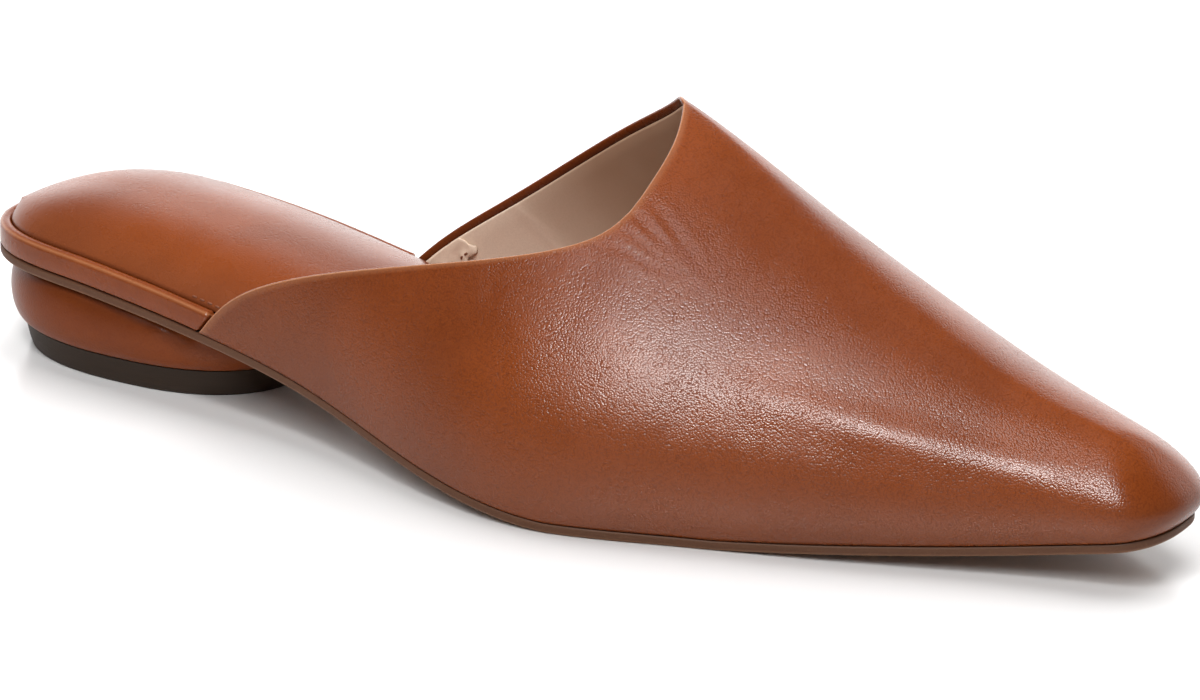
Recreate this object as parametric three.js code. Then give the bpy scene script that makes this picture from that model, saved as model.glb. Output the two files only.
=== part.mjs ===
// A pointed flat mule for the right foot: a one-piece leather upper on a leather-wrapped footbed,
// a thin outsole, a padded sock, and a low heel made of a leather-covered block and a top lift.
//
// The frame: +X runs from the heel to the toe, +Y to the inner (medial) side of the foot and +Z up.
// Shapes are worked out with x = 0 at the back of the heel and y = 0 on the heel's centre line, and
// at the end the whole shoe moves so that its origin is under the middle of its outer box.
import * as THREE from 'three';

// Driving sizes, in millimetres
const SHOE_LENGTH = 257.3; // back of the heel to the toe tip, along the edge where upper meets sole
const BALL_WIDTH = 76; // across the widest part of the forefoot
const HEEL_WIDTH = 53; // across the seat
const TOE_WIDTH = 26; // across the blunt tip, before its corners are rounded
const HEEL_HEIGHT = 18.5; // floor to the outsole's underside, under the heel
const TOE_SPRING = 9.1; // floor to the outsole's underside, at the tip
const INSTEP_RISE = 70; // outsole to the ridge of the upper, at the throat
const TOE_DEPTH = 14; // outsole to the top of the toe
const SIDE_FULLNESS = 3.6; // how far the side of the upper bulges past the sole's edge
const TOE_SET = 3.6; // how far the tip lies to the inner side of the heel's centre line
const HEEL_SET = 8.5; // how far the back of the heel lies to the outer side of that line
const HEEL_CURVE_LATERAL = 41.6; // length over which the outer side of the heel is rounded in plan
const HEEL_CURVE_MEDIAL = 28.8; // the same on the inner side
const TOE_CURVE = 10.8; // length over which the tip is rounded in plan
const TOE_BLUNTNESS = 2.6; // 2 is a round tip, more is squarer
const TOE_SLOPE = 14; // how far the front of the toe leans back to its top

const UPPER_WALL = 1.6; // leather and lining together
const OUTSOLE_THICKNESS = 2;
const OUTSOLE_BEVEL = 0.8; // worn bevel round the outsole's lower edge
const RIM_HEIGHT = 5.2; // leather-wrapped footbed, above the outsole at the heel
const BOARD_HEIGHT = 3.2; // the same footbed where it thins out under the forefoot
const LIP_WIDTH = 2.2; // raised lip of the footbed round the sock
const LIP_RADIUS = 1.1;
const RECESS_DEPTH = 1.0; // how deep the sock is let in below the lip
const SOCK_EDGE = 1.2; // thickness of the sock at its tucked edge
const SOCK_CROWN = 5.2; // how far the padded sock stands above its edge
const SOCK_RAMP = 24; // length over which the padding builds up at the heel and the toe

const LIFT_LENGTH = 61.2; // top lift, along the foot at the floor
const LIFT_WIDTH = 46.4;
const LIFT_HEIGHT = 5.8;
const LIFT_FLARE = 1.3; // how much wider the lift is at its top, on each side
const LIFT_CENTRE = 34.3; // from the back of the heel
const LIFT_SET = 0.9; // how far the lift lies to the inner side of the heel's centre line
const LIFT_BEVEL = 0.5;
const BLOCK_BULGE = 3.8; // how far the covered block stands out past the lift's foot
const BLOCK_TUCK = 2.8; // how far the block draws in again at its top and bottom
const HEEL_OVAL_POWER = 2.4; // 2 is an ellipse, more is squarer

const FIT_GAP = 0.3; // between neighbouring pieces

// Shares and powers that shape the curves
const BULGE_PEAK = 4 / 27; // the highest value of u(1 - u)^2, which the side bulge follows
const BOARD_START = 0.287; // where the footbed starts to thin, as a share of the shoe's length
const BOARD_RAMP = 0.255; // over how long a share it thins
const PILLOW_FLATNESS = 2.6; // 2 is a round sock, more is flatter on top
const PILLOW_POWER = 0.9; // how steeply the sock rises at its edge: 0.5 is upright, 1 is sloping
const BLOCK_POWER = 2; // 2 is a round side of the heel block, more is flatter
const STATION_CLEARANCE = 0.3; // the closest that a step's station lies to others, in steps
const TAIL_REACH = 0.3; // how far up the girth the slant of the upper's ends is looked for
const TAIL_STEP = 0.002; // how finely it is looked for

// Plan of the sole: half widths either side of the heel's centre line, as shares of the row's width
const PLAN = [
  { along: 0.0, width: HEEL_WIDTH, lateral: 0.588, medial: 0.545 },
  { along: 0.1, width: HEEL_WIDTH, lateral: 0.5, medial: 0.526 },
  { along: 0.2, width: HEEL_WIDTH, lateral: 0.524, medial: 0.523 },
  { along: 0.328, width: HEEL_WIDTH, lateral: 0.605, medial: 0.495 },
  { along: 0.45, width: BALL_WIDTH, lateral: 0.542, medial: 0.374 },
  { along: 0.552, width: BALL_WIDTH, lateral: 0.577, medial: 0.424 },
  { along: 0.654, width: BALL_WIDTH, lateral: 0.48, medial: 0.461 },
  { along: 0.756, width: BALL_WIDTH, lateral: 0.373, medial: 0.434 },
  { along: 0.857, width: BALL_WIDTH, lateral: 0.257, medial: 0.347 },
  { along: 0.939, width: TOE_WIDTH, lateral: 0.512, medial: 0.708 },
  { along: 1.0, width: TOE_WIDTH, lateral: 0.402, medial: 0.47 },
];

// Side view of the outsole's underside: shares of the heel height and of the toe spring.
// Where both are nought the forefoot lies flat on the floor.
const SOLE_SIDE = [
  { along: 0.0, heel: 1.041, toe: 0 },
  { along: 0.104, heel: 1.003, toe: 0 },
  { along: 0.226, heel: 0.821, toe: 0 },
  { along: 0.348, heel: 0.524, toe: 0 },
  { along: 0.471, heel: 0.17, toe: 0 },
  { along: 0.562, heel: 0, toe: 0 },
  { along: 0.684, heel: 0, toe: 0 },
  { along: 0.796, heel: 0, toe: 0.225 },
  { along: 0.898, heel: 0, toe: 0.525 },
  { along: 1.0, heel: 0, toe: 1 },
];

// Sections of the upper: height of the ridge above the outsole as shares of the instep's rise and
// of the toe's depth, how square the section is (2 is an ellipse), how far the ridge lies to the
// inner side as a share of the ball width, and the bulge of each side as a share of its fullness
const SECTIONS = [
  { along: 0.165, instep: 1.094, toe: 0, square: 1.99, ridge: 0, lateral: 0.12, medial: 0.14 },
  { along: 0.328, instep: 1.083, toe: 0, square: 1.71, ridge: 0.105, lateral: 0.23, medial: 0.49 },
  { along: 0.45, instep: 1.071, toe: 0, square: 1.62, ridge: 0.14, lateral: 0.56, medial: 0.69 },
  { along: 0.552, instep: 1.0, toe: 0, square: 1.65, ridge: 0.122, lateral: 0.83, medial: 0.79 },
  { along: 0.654, instep: 0.83, toe: 0, square: 1.8, ridge: 0.066, lateral: 1.015, medial: 0.815 },
  { along: 0.756, instep: 0.625, toe: 0, square: 1.96, ridge: 0.014, lateral: 0.88, medial: 0.77 },
  { along: 0.857, instep: 0.3, toe: 0.636, square: 2.11, ridge: -0.02, lateral: 0.68, medial: 0.69 },
  { along: 0.939, instep: 0.1, toe: 0.963, square: 2.2, ridge: -0.025, lateral: 0.585, medial: 0.6 },
  { along: 1.0, instep: 0, toe: 0.991, square: 2.27, ridge: -0.027, lateral: 0.54, medial: 0.54 },
];

// Top line of the upper: how far along the foot it lies at each place round the girth, which runs
// from -1 at the outer sole edge over 0 at the ridge to 1 at the inner sole edge
const TOP_LINE = [
  { round: -1.0, along: 0.2238 },
  { round: -0.9, along: 0.2549 },
  { round: -0.8, along: 0.3081 },
  { round: -0.7, along: 0.3763 },
  { round: -0.6, along: 0.4518 },
  { round: -0.52, along: 0.5117 },
  { round: -0.46, along: 0.5468 },
  { round: -0.4, along: 0.5668 },
  { round: -0.3, along: 0.5777 },
  { round: -0.15, along: 0.5771 },
  { round: 0.0, along: 0.5626 },
  { round: 0.15, along: 0.5493 },
  { round: 0.3, along: 0.5262 },
  { round: 0.45, along: 0.4827 },
  { round: 0.6, along: 0.4278 },
  { round: 0.75, along: 0.3671 },
  { round: 0.9, along: 0.3077 },
  { round: 1.0, along: 0.2774 },
];

// How finely the surfaces are divided
const SOLE_STATIONS = 46; // heel to toe, closer together at both ends
const UPPER_COLUMNS = 34; // from the top line to the toe
const TOE_CROWDING = 1.25; // above 1 the stations crowd towards the small round of the tip
const UPPER_ROWS = 16; // from the sole edge to the ridge, on each side
const SOCK_STRIPS = 8; // across the padded sock
const OVAL_STATIONS = 26; // heel to front of the heel block

const LATERAL = -1;
const MEDIAL = 1;

const mix = (a, b, share) => a + (b - a) * share;
const clamp01 = (value) => Math.min(1, Math.max(0, value));
const smoothStep = (value) => clamp01(value) ** 2 * (3 - 2 * clamp01(value));

// Natural cubic spline through the rows' points: second derivatives come from sweeping the
// tridiagonal system down and back, and the curve is a function of x
function curveThrough(xs, ys) {
  const last = xs.length - 1;
  const bend = xs.map(() => 0);
  const lower = xs.map(() => 0);
  for (let i = 1; i < last; i += 1) {
    const before = xs[i] - xs[i - 1];
    const after = xs[i + 1] - xs[i];
    const slopeChange = (ys[i + 1] - ys[i]) / after - (ys[i] - ys[i - 1]) / before;
    const pivot = 2 * (before + after) - before * lower[i - 1];
    lower[i] = after / pivot;
    bend[i] = (6 * slopeChange - before * bend[i - 1]) / pivot;
  }
  for (let i = last - 1; i > 0; i -= 1) bend[i] -= lower[i] * bend[i + 1];
  return (x) => {
    let k = 0;
    while (k < last - 1 && x > xs[k + 1]) k += 1;
    const h = xs[k + 1] - xs[k];
    const a = (xs[k + 1] - x) / h;
    const b = (x - xs[k]) / h;
    const bow = ((a ** 3 - a) * bend[k] + (b ** 3 - b) * bend[k + 1]) * h * h / 6;
    return a * ys[k] + b * ys[k + 1] + bow;
  };
}

const tableCurve = (rows, value) => curveThrough(rows.map((row) => row.along * SHOE_LENGTH), rows.map(value));

const lateralHalf = tableCurve(PLAN, (row) => row.width * row.lateral);
const medialHalf = tableCurve(PLAN, (row) => row.width * row.medial);
const solePath = tableCurve(SOLE_SIDE, (row) => HEEL_HEIGHT * row.heel + TOE_SPRING * row.toe);
const ridgeRise = tableCurve(SECTIONS, (row) => INSTEP_RISE * row.instep + TOE_DEPTH * row.toe);
const squareness = tableCurve(SECTIONS, (row) => row.square);
const ridgeOffset = tableCurve(SECTIONS, (row) => BALL_WIDTH * row.ridge);
const lateralBulge = tableCurve(SECTIONS, (row) => SIDE_FULLNESS * row.lateral);
const medialBulge = tableCurve(SECTIONS, (row) => SIDE_FULLNESS * row.medial);
const topLine = curveThrough(
  TOP_LINE.map((row) => row.round),
  TOP_LINE.map((row) => row.along * SHOE_LENGTH),
);

// Heights of the outsole's two faces above the floor
const underside = (x) => Math.max(0, solePath(x));
const soleTop = (x) => underside(x) + OUTSOLE_THICKNESS;

// The sole's edge on one side, at a station that runs from 0 at the heel to 1 at the tip
const stationAt = (x) => Math.acos(THREE.MathUtils.clamp(1 - 2 * x / SHOE_LENGTH, -1, 1)) / Math.PI;

function soleEdge(station, side) {
  const x = SHOE_LENGTH * (1 - Math.cos(Math.PI * station)) / 2;
  const half = side === LATERAL ? lateralHalf(x) : medialHalf(x);
  const heel = clamp01(1 - x / (side === LATERAL ? HEEL_CURVE_LATERAL : HEEL_CURVE_MEDIAL));
  const toe = clamp01((x - SHOE_LENGTH + TOE_CURVE) / TOE_CURVE);
  const y = mix(-HEEL_SET, side * half, Math.sqrt(1 - heel * heel));
  return { x, y: mix(TOE_SET, y, (1 - toe ** TOE_BLUNTNESS) ** (1 / TOE_BLUNTNESS)) };
}

// The same with its outward direction in plan, from two neighbouring points of the edge
function soleFeather(station, side) {
  const step = 0.001;
  const behind = soleEdge(Math.max(0, station - step), side);
  const ahead = soleEdge(Math.min(1, station + step), side);
  const length = Math.hypot(ahead.x - behind.x, ahead.y - behind.y);
  const edge = soleEdge(station, side);
  if (station <= 0 || station >= 1) return { ...edge, outX: station <= 0 ? -1 : 1, outY: 0 };
  const outX = -side * (ahead.y - behind.y) / length;
  const outY = side * (ahead.x - behind.x) / length;
  return { ...edge, outX, outY };
}

// Builds a closed mesh from a list of points and triangles
function closedMesh(points, triangles) {
  const geometry = new THREE.BufferGeometry();
  geometry.setAttribute('position', new THREE.Float32BufferAttribute(points.flat(), 3));
  geometry.setIndex(triangles.flat());
  geometry.computeVertexNormals();
  return geometry;
}

// Shares from 0 to 1 that crowd towards the toe
const crowded = (share) => 1 - (1 - share) ** TOE_CROWDING;

// Stations along the foot from 0 to 1, with extra ones where a step has to be sharp
function stationsWith(count, extra) {
  const even = Array.from({ length: count + 1 }, (_, i) => crowded(i / count));
  const clear = even.filter((t) => extra.every((e) => Math.abs(e - t) > STATION_CLEARANCE / count));
  return [...clear, ...extra].sort((a, b) => a - b);
}

// A slab: each layer is a closed outline with as many points on either side of the foot, listed
// from the heel to the tip. Layers run from the bottom up, walls join them, and the two ends are
// closed by strips across the foot, which may be domed.
function slab(layers, strips, dome) {
  const points = [];
  const triangles = [];
  const steps = layers[0].lateral.length - 1;
  const ringSize = 2 * steps;
  const ringIndex = (layer, k) => layer * ringSize + ((k % ringSize) + ringSize) % ringSize;
  for (const { lateral, medial } of layers) {
    points.push(...lateral, ...medial.slice(1, -1).reverse());
  }
  for (let layer = 0; layer < layers.length - 1; layer += 1) {
    for (let k = 0; k < ringSize; k += 1) {
      const [a, b] = [ringIndex(layer, k), ringIndex(layer, k + 1)];
      const [c, d] = [ringIndex(layer + 1, k), ringIndex(layer + 1, k + 1)];
      triangles.push([a, b, d], [a, d, c]);
    }
  }
  const closeEnd = (layer, count, rise, flip) => {
    const rows = [];
    for (let k = 0; k <= steps; k += 1) {
      const left = ringIndex(layer, k);
      const right = ringIndex(layer, -k);
      const row = [left];
      for (let j = 1; j < count && left !== right; j += 1) {
        const share = (1 - Math.cos(Math.PI * j / count)) / 2;
        const [p, q] = [points[left], points[right]];
        const point = [0, 1, 2].map((axis) => mix(p[axis], q[axis], share));
        point[2] += rise(point[0], 2 * share - 1);
        row.push(points.push(point) - 1);
      }
      if (left !== right) row.push(right);
      rows.push(row);
    }
    const at = (row, j) => row[Math.min(j, row.length - 1)];
    for (let k = 0; k < steps; k += 1) {
      for (let j = 0; j < count; j += 1) {
        const [a, b] = [at(rows[k], j), at(rows[k], j + 1)];
        const [c, d] = [at(rows[k + 1], j), at(rows[k + 1], j + 1)];
        const faces = [[a, c, d], [a, d, b]].filter(([p, q, r]) => p !== q && q !== r && p !== r);
        for (const face of faces) triangles.push(flip ? [face[0], face[2], face[1]] : face);
      }
    }
  };
  closeEnd(0, 1, () => 0, true);
  closeEnd(layers.length - 1, strips, dome, false);
  return closedMesh(points, triangles);
}

// One layer of a piece that follows the sole's edge: inset by a distance at right angles to the
// edge and lying at a height. The inset may differ along the foot, and shift moves the stations.
function footLayer(stations, inset, height, shift = () => 0) {
  const edgePoints = (side) => stations.map((station) => {
    const middle = SHOE_LENGTH * (1 - Math.cos(Math.PI * station)) / 2;
    const place = station > 0 && station < 1 ? stationAt(middle + shift(middle, side)) : station;
    const { x, y, outX, outY } = soleFeather(place, side);
    const depth = inset(middle, side);
    const px = x - outX * depth;
    return [px, y - outY * depth, height(px, middle, side)];
  });
  return { lateral: edgePoints(LATERAL), medial: edgePoints(MEDIAL) };
}

// Outsole: a thin flexible sheet with a bevelled lower edge, flat on the floor under the ball
function makeOutsole() {
  const layer = (inset, height) => footLayer(FOOT_STATIONS, () => inset, (x) => height(x));
  return slab([
    layer(OUTSOLE_BEVEL, underside),
    layer(OUTSOLE_BEVEL * 0.25, (x) => underside(x) + OUTSOLE_BEVEL * 0.35),
    layer(0, (x) => underside(x) + OUTSOLE_BEVEL),
    layer(0, soleTop),
  ], 1, () => 0);
}

// A point of the upper's outer face: station along the sole's edge, and climb from 0 at the edge
// to 1 at the ridge. The section is a superellipse between the two, pushed outwards low down.
// Towards the tip the ridge points bunch up behind it, which leans the front of the toe back.
function upperPoint(station, climb, side) {
  const { x, y, outX, outY } = soleFeather(station, side);
  const fanStart = SHOE_LENGTH - 2 * TOE_SLOPE;
  const fan = clamp01((x - fanStart) / (SHOE_LENGTH - fanStart));
  const ridgeX = x <= fanStart ? x : fanStart + TOE_SLOPE * (1 - (1 - fan) ** 2);
  const power = 2 / squareness(x);
  const out = Math.max(0, Math.cos(climb * Math.PI / 2)) ** power;
  const up = Math.sin(climb * Math.PI / 2) ** power;
  const bulge = (side === LATERAL ? lateralBulge(x) : medialBulge(x)) * up * (1 - up) ** 2 / BULGE_PEAK;
  const px = mix(ridgeX, x, out) + outX * bulge;
  const py = mix(ridgeOffset(ridgeX), y, out) + outY * bulge;
  const foot = soleTop(Math.min(px, SHOE_LENGTH)) + FIT_GAP;
  return [px, py, foot + (ridgeRise(Math.min(px, SHOE_LENGTH)) - FIT_GAP) * up];
}

// Upper: a grid from the outer sole edge over the ridge to the inner sole edge. Its columns run
// from the top line to the toe, where both sides meet. The inner face lies one wall inside.
function makeUpper() {
  const grid = (side) => Array.from({ length: UPPER_ROWS + 1 }, (_, j) => {
    const climb = j / UPPER_ROWS;
    const start = stationAt(topLine(side * (1 - climb)));
    return Array.from({ length: UPPER_COLUMNS + 1 }, (__, i) => {
      return upperPoint(mix(start, 1, crowded(i / UPPER_COLUMNS)), climb, side);
    });
  });
  const outer = [];
  const keyOf = new Map();
  const addPoint = (point) => {
    const key = point.map((value) => value.toFixed(4)).join(' ');
    if (!keyOf.has(key)) keyOf.set(key, outer.push(point) - 1);
    return keyOf.get(key);
  };
  const index = [LATERAL, MEDIAL].map((side) => grid(side).map((row) => row.map(addPoint)));
  const faces = [];
  index.forEach((rows, which) => {
    for (let j = 0; j < UPPER_ROWS; j += 1) {
      for (let i = 0; i < UPPER_COLUMNS; i += 1) {
        const [a, b] = [rows[j][i], rows[j][i + 1]];
        const [c, d] = [rows[j + 1][i], rows[j + 1][i + 1]];
        faces.push(...(which === 0 ? [[a, b, d], [a, d, c]] : [[a, d, b], [a, c, d]]));
      }
    }
  });
  const solid = faces.filter(([a, b, c]) => a !== b && b !== c && a !== c);
  const normals = vertexNormals(outer, solid);
  const inner = outer.map((point, k) => point.map((value, axis) => value - normals[k][axis] * UPPER_WALL));
  // The bottom edge is cut level: its inner corner lies one wall inside the sole's edge
  index.forEach((rows, which) => rows[0].forEach((vertex, i) => {
    const side = which === 0 ? LATERAL : MEDIAL;
    const station = mix(stationAt(topLine(side)), 1, crowded(i / UPPER_COLUMNS));
    const { x, y, outX, outY } = soleFeather(station, side);
    const px = x - outX * UPPER_WALL;
    inner[vertex] = [px, y - outY * UPPER_WALL, soleTop(px) + FIT_GAP];
  }));
  const offset = outer.length;
  const triangles = [...solid, ...solid.map(([a, b, c]) => [a + offset, c + offset, b + offset])];
  // Every edge used by one outer face only is the rim of the sheet, and gets a strip of wall
  const used = new Set(solid.flatMap(([a, b, c]) => [`${a} ${b}`, `${b} ${c}`, `${c} ${a}`]));
  for (const edge of used) {
    const [a, b] = edge.split(' ').map(Number);
    if (!used.has(`${b} ${a}`)) triangles.push([b, a, a + offset], [b, a + offset, b + offset]);
  }
  return closedMesh([...outer, ...inner], triangles);
}

function vertexNormals(points, faces) {
  const sums = points.map(() => new THREE.Vector3());
  const corner = (k) => new THREE.Vector3(...points[k]);
  for (const [a, b, c] of faces) {
    const cross = corner(b).sub(corner(a)).cross(corner(c).sub(corner(a)));
    for (const k of [a, b, c]) sums[k].add(cross);
  }
  return sums.map((sum) => sum.normalize().toArray());
}

// Where the upper's end lies along the foot on one side, at a height above the outsole
function tailAt(height, side) {
  let climb = 0;
  while (climb < TAIL_REACH) {
    const station = stationAt(topLine(side * (1 - climb)));
    const [x, , z] = upperPoint(station, climb, side);
    if (z - soleTop(x) >= height) return x;
    climb += TAIL_STEP;
  }
  return topLine(side);
}

// Layers of the footbed from its underside up: inset from the sole's edge and height above the
// outsole behind the upper's ends, and inset from the upper's wall and height ahead of them,
// where the lip gives way to a flat board
const RECESS_HEIGHT = RIM_HEIGHT - RECESS_DEPTH;
const FOOTBED_LAYERS = [
  { inset: 0.5, height: FIT_GAP, aheadInset: 0.5, aheadHeight: FIT_GAP },
  { inset: 0, height: FIT_GAP + 0.5, aheadInset: 0, aheadHeight: FIT_GAP + 0.5 },
  { inset: 0, height: RIM_HEIGHT - LIP_RADIUS, aheadInset: 0, aheadHeight: RECESS_HEIGHT - 0.4 },
  { inset: LIP_RADIUS * 0.3, height: RIM_HEIGHT - 0.3, aheadInset: 0.04, aheadHeight: RECESS_HEIGHT - 0.1 },
  { inset: LIP_RADIUS, height: RIM_HEIGHT, aheadInset: 0.12, aheadHeight: RECESS_HEIGHT },
  { inset: LIP_WIDTH - 0.1, height: RIM_HEIGHT - 0.1, aheadInset: 0.2, aheadHeight: RECESS_HEIGHT },
  { inset: LIP_WIDTH, height: RECESS_HEIGHT, aheadInset: 0.3, aheadHeight: RECESS_HEIGHT },
];

// How high the footbed stands above the outsole: full at the seat and thinner under the forefoot
const bedShare = (x) => {
  const thinning = smoothStep((x / SHOE_LENGTH - BOARD_START) / BOARD_RAMP);
  return mix(1, BOARD_HEIGHT / RIM_HEIGHT, thinning);
};

// Stations along the foot, with a sharp step where the footbed makes room for the upper's wall:
// the step ends one gap behind the upper's end on each side
const STEP_LENGTH = 0.4;
const LEAN_LENGTH = 26; // length over which the slant of the upper's ends dies away
const TAILS = { [LATERAL]: tailAt(0, LATERAL), [MEDIAL]: tailAt(0, MEDIAL) };
const FOOT_STATIONS = stationsWith(
  SOLE_STATIONS,
  Object.values(TAILS).flatMap((tail) => [tail - FIT_GAP - STEP_LENGTH, tail - FIT_GAP].map(stationAt)),
);
const aheadOfTail = (x, side) => clamp01((x - TAILS[side] + FIT_GAP + STEP_LENGTH) / STEP_LENGTH);

// Footbed: a board wrapped in leather. Behind the upper's two ends its side is flush with the
// sole's edge and a lip stands round the sock. Its stations lean with the slant of those ends.
function makeFootbed() {
  return slab(FOOTBED_LAYERS.map((row) => {
    const shift = (x, side) => {
      const slant = tailAt(Math.min(row.height, row.aheadHeight), side) - TAILS[side];
      const away = Math.abs(x - TAILS[side] + FIT_GAP + STEP_LENGTH / 2);
      return slant * (1 - smoothStep(away / LEAN_LENGTH));
    };
    const inset = (x, side) => mix(row.inset, UPPER_WALL + FIT_GAP + row.aheadInset, aheadOfTail(x, side));
    const height = (x, middle, side) => {
      const above = mix(row.height, row.aheadHeight, aheadOfTail(middle, side));
      return soleTop(x) + Math.max(FIT_GAP, above * bedShare(x));
    };
    return footLayer(FOOT_STATIONS, inset, height, shift);
  }), 1, () => 0);
}

// Sock: the padded cover of the footbed, let in inside the lip. Its top is a pillow that rises
// from its tucked edge, across the foot and at both ends, and is thinner under the forefoot.
function makeSock() {
  const layer = (inset, height) => footLayer(
    FOOT_STATIONS,
    () => LIP_WIDTH + FIT_GAP + inset,
    (x) => soleTop(x) + RECESS_HEIGHT * bedShare(x) + height,
  );
  const pillow = (share) => (1 - Math.min(1, Math.abs(share)) ** PILLOW_FLATNESS) ** PILLOW_POWER;
  const dome = (x, across) => {
    const ends = pillow(1 - clamp01(x / SOCK_RAMP)) * pillow(1 - clamp01((SHOE_LENGTH - x) / SOCK_RAMP));
    return SOCK_CROWN * bedShare(x) ** 2 * pillow(across) * ends;
  };
  return slab([
    layer(0.3, FIT_GAP),
    layer(0, FIT_GAP + 0.3),
    layer(0, SOCK_EDGE),
    layer(0.3, SOCK_EDGE + 0.3),
  ], SOCK_STRIPS, dome);
}

// An oval layer under the heel, grown outwards from the lift's foot by a distance
function ovalLayer(grow, height) {
  const power = 2 / HEEL_OVAL_POWER;
  const half = (side) => Array.from({ length: OVAL_STATIONS + 1 }, (_, i) => {
    const angle = Math.PI * (1 - i / OVAL_STATIONS);
    const c = Math.cos(angle);
    const x = LIFT_CENTRE + (LIFT_LENGTH / 2 + grow) * Math.sign(c) * Math.abs(c) ** power;
    const y = side * (LIFT_WIDTH / 2 + grow) * Math.abs(Math.sin(angle)) ** power;
    return [x, LIFT_SET + (i === 0 || i === OVAL_STATIONS ? 0 : y), height(x)];
  });
  return { lateral: half(LATERAL), medial: half(MEDIAL) };
}

// Heel block: a leather-covered pill between the outsole's underside and the top lift
function makeHeelBlock() {
  const floor = LIFT_HEIGHT + FIT_GAP;
  const shares = [0, 0.06, 0.18, 0.36, 0.56, 0.76, 0.91, 1];
  return slab(shares.map((share) => {
    const swell = Math.sqrt(1 - Math.abs(2 * share - 1) ** BLOCK_POWER);
    return ovalLayer(
      BLOCK_BULGE - BLOCK_TUCK * (1 - swell),
      (x) => mix(floor, underside(x) - FIT_GAP, share),
    );
  }), 1, () => 0);
}

// Top lift: the hard-wearing foot of the heel, narrower at the floor
function makeTopLift() {
  return slab([
    ovalLayer(-LIFT_BEVEL, () => 0),
    ovalLayer(LIFT_FLARE * LIFT_BEVEL / LIFT_HEIGHT, () => LIFT_BEVEL),
    ovalLayer(LIFT_FLARE, () => LIFT_HEIGHT),
  ], 1, () => 0);
}

function piece(name, geometry, color, roughness) {
  const material = new THREE.MeshStandardMaterial({ color, roughness, metalness: 0 });
  const mesh = new THREE.Mesh(geometry, material);
  mesh.name = name;
  return mesh;
}

const mule = new THREE.Group();
mule.add(
  piece('outsole', makeOutsole(), 0x6e523c, 0.6),
  piece('footbed_rim', makeFootbed(), 0x8f4a26, 0.45),
  piece('sock', makeSock(), 0x93502c, 0.4),
  piece('upper', makeUpper(), 0x8c4724, 0.42),
  piece('heel_block', makeHeelBlock(), 0x8a4523, 0.42),
  piece('top_lift', makeTopLift(), 0x4b3e32, 0.7),
);

// The origin goes under the middle of the shoe's outer box, on the floor
const box = new THREE.Box3().setFromObject(mule);
mule.position.set(-(box.min.x + box.max.x) / 2, -(box.min.y + box.max.y) / 2, -box.min.z);

export default mule;
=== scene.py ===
"""A pointed flat mule for the right foot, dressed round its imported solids, on a pale studio floor."""

import math
from collections import namedtuple

import bmesh
import bpy
import numpy as np
from mathutils import Matrix, Vector


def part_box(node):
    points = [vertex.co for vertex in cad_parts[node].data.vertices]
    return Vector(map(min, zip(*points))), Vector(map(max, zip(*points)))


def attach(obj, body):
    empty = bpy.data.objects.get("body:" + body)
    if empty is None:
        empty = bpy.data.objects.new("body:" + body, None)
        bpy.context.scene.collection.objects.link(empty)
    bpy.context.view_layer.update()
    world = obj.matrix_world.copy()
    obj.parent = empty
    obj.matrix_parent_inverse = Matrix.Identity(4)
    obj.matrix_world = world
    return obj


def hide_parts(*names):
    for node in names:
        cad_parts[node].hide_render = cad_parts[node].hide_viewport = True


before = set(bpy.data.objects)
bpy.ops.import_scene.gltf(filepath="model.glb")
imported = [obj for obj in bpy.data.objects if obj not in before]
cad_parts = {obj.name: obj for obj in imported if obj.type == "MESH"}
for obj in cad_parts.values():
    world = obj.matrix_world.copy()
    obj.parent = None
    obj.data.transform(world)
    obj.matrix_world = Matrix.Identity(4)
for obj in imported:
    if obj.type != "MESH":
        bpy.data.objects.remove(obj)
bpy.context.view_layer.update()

bl_info = {
    "name": "Pointed flat mule",
    "version": (1, 0, 0),
    "blender": (4, 5, 0),
    "location": "View3D > Sidebar > Mule",
    "description": "Builds a leather mule with its sock, footbed, outsole and covered heel",
    "category": "Object",
}

MM = 0.001

# The outer and the inner side of the foot, as signs of y
LATERAL = -1
MEDIAL = 1

# The frame's own places: the corners of the outsole and of the top lift, and the sole's length
SOLE_LOW, SOLE_HIGH = (np.array(corner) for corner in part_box("outsole"))
LIFT_LOW, LIFT_HIGH = (np.array(corner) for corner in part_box("top_lift"))
SHOE_LENGTH = SOLE_HIGH[0] - SOLE_LOW[0]

# Plan of the sole: half widths either side of the heel's centre line
# as shares of the heel's, the ball's and the toe's width
PLAN_COLUMNS = ("along", "of_heel", "of_ball", "of_toe", "lateral", "medial")
PLAN = (
    (0.000, 1, 0, 0, 0.588, 0.545),
    (0.100, 1, 0, 0, 0.500, 0.526),
    (0.200, 1, 0, 0, 0.524, 0.523),
    (0.328, 1, 0, 0, 0.605, 0.495),
    (0.450, 0, 1, 0, 0.542, 0.374),
    (0.552, 0, 1, 0, 0.577, 0.424),
    (0.654, 0, 1, 0, 0.480, 0.461),
    (0.756, 0, 1, 0, 0.373, 0.434),
    (0.857, 0, 1, 0, 0.257, 0.347),
    (0.939, 0, 0, 1, 0.512, 0.708),
    (1.000, 0, 0, 1, 0.402, 0.470),
)

# Side view of the outsole's underside, as shares of the heel height and of the toe spring
SIDE_COLUMNS = ("along", "heel", "toe")
SOLE_SIDE = (
    (0.000, 1.041, 0),
    (0.104, 1.003, 0),
    (0.226, 0.821, 0),
    (0.348, 0.524, 0),
    (0.471, 0.17, 0),
    (0.562, 0, 0),
    (0.684, 0, 0),
    (0.796, 0, 0.225),
    (0.898, 0, 0.525),
    (1.000, 0, 1),
)

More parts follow.
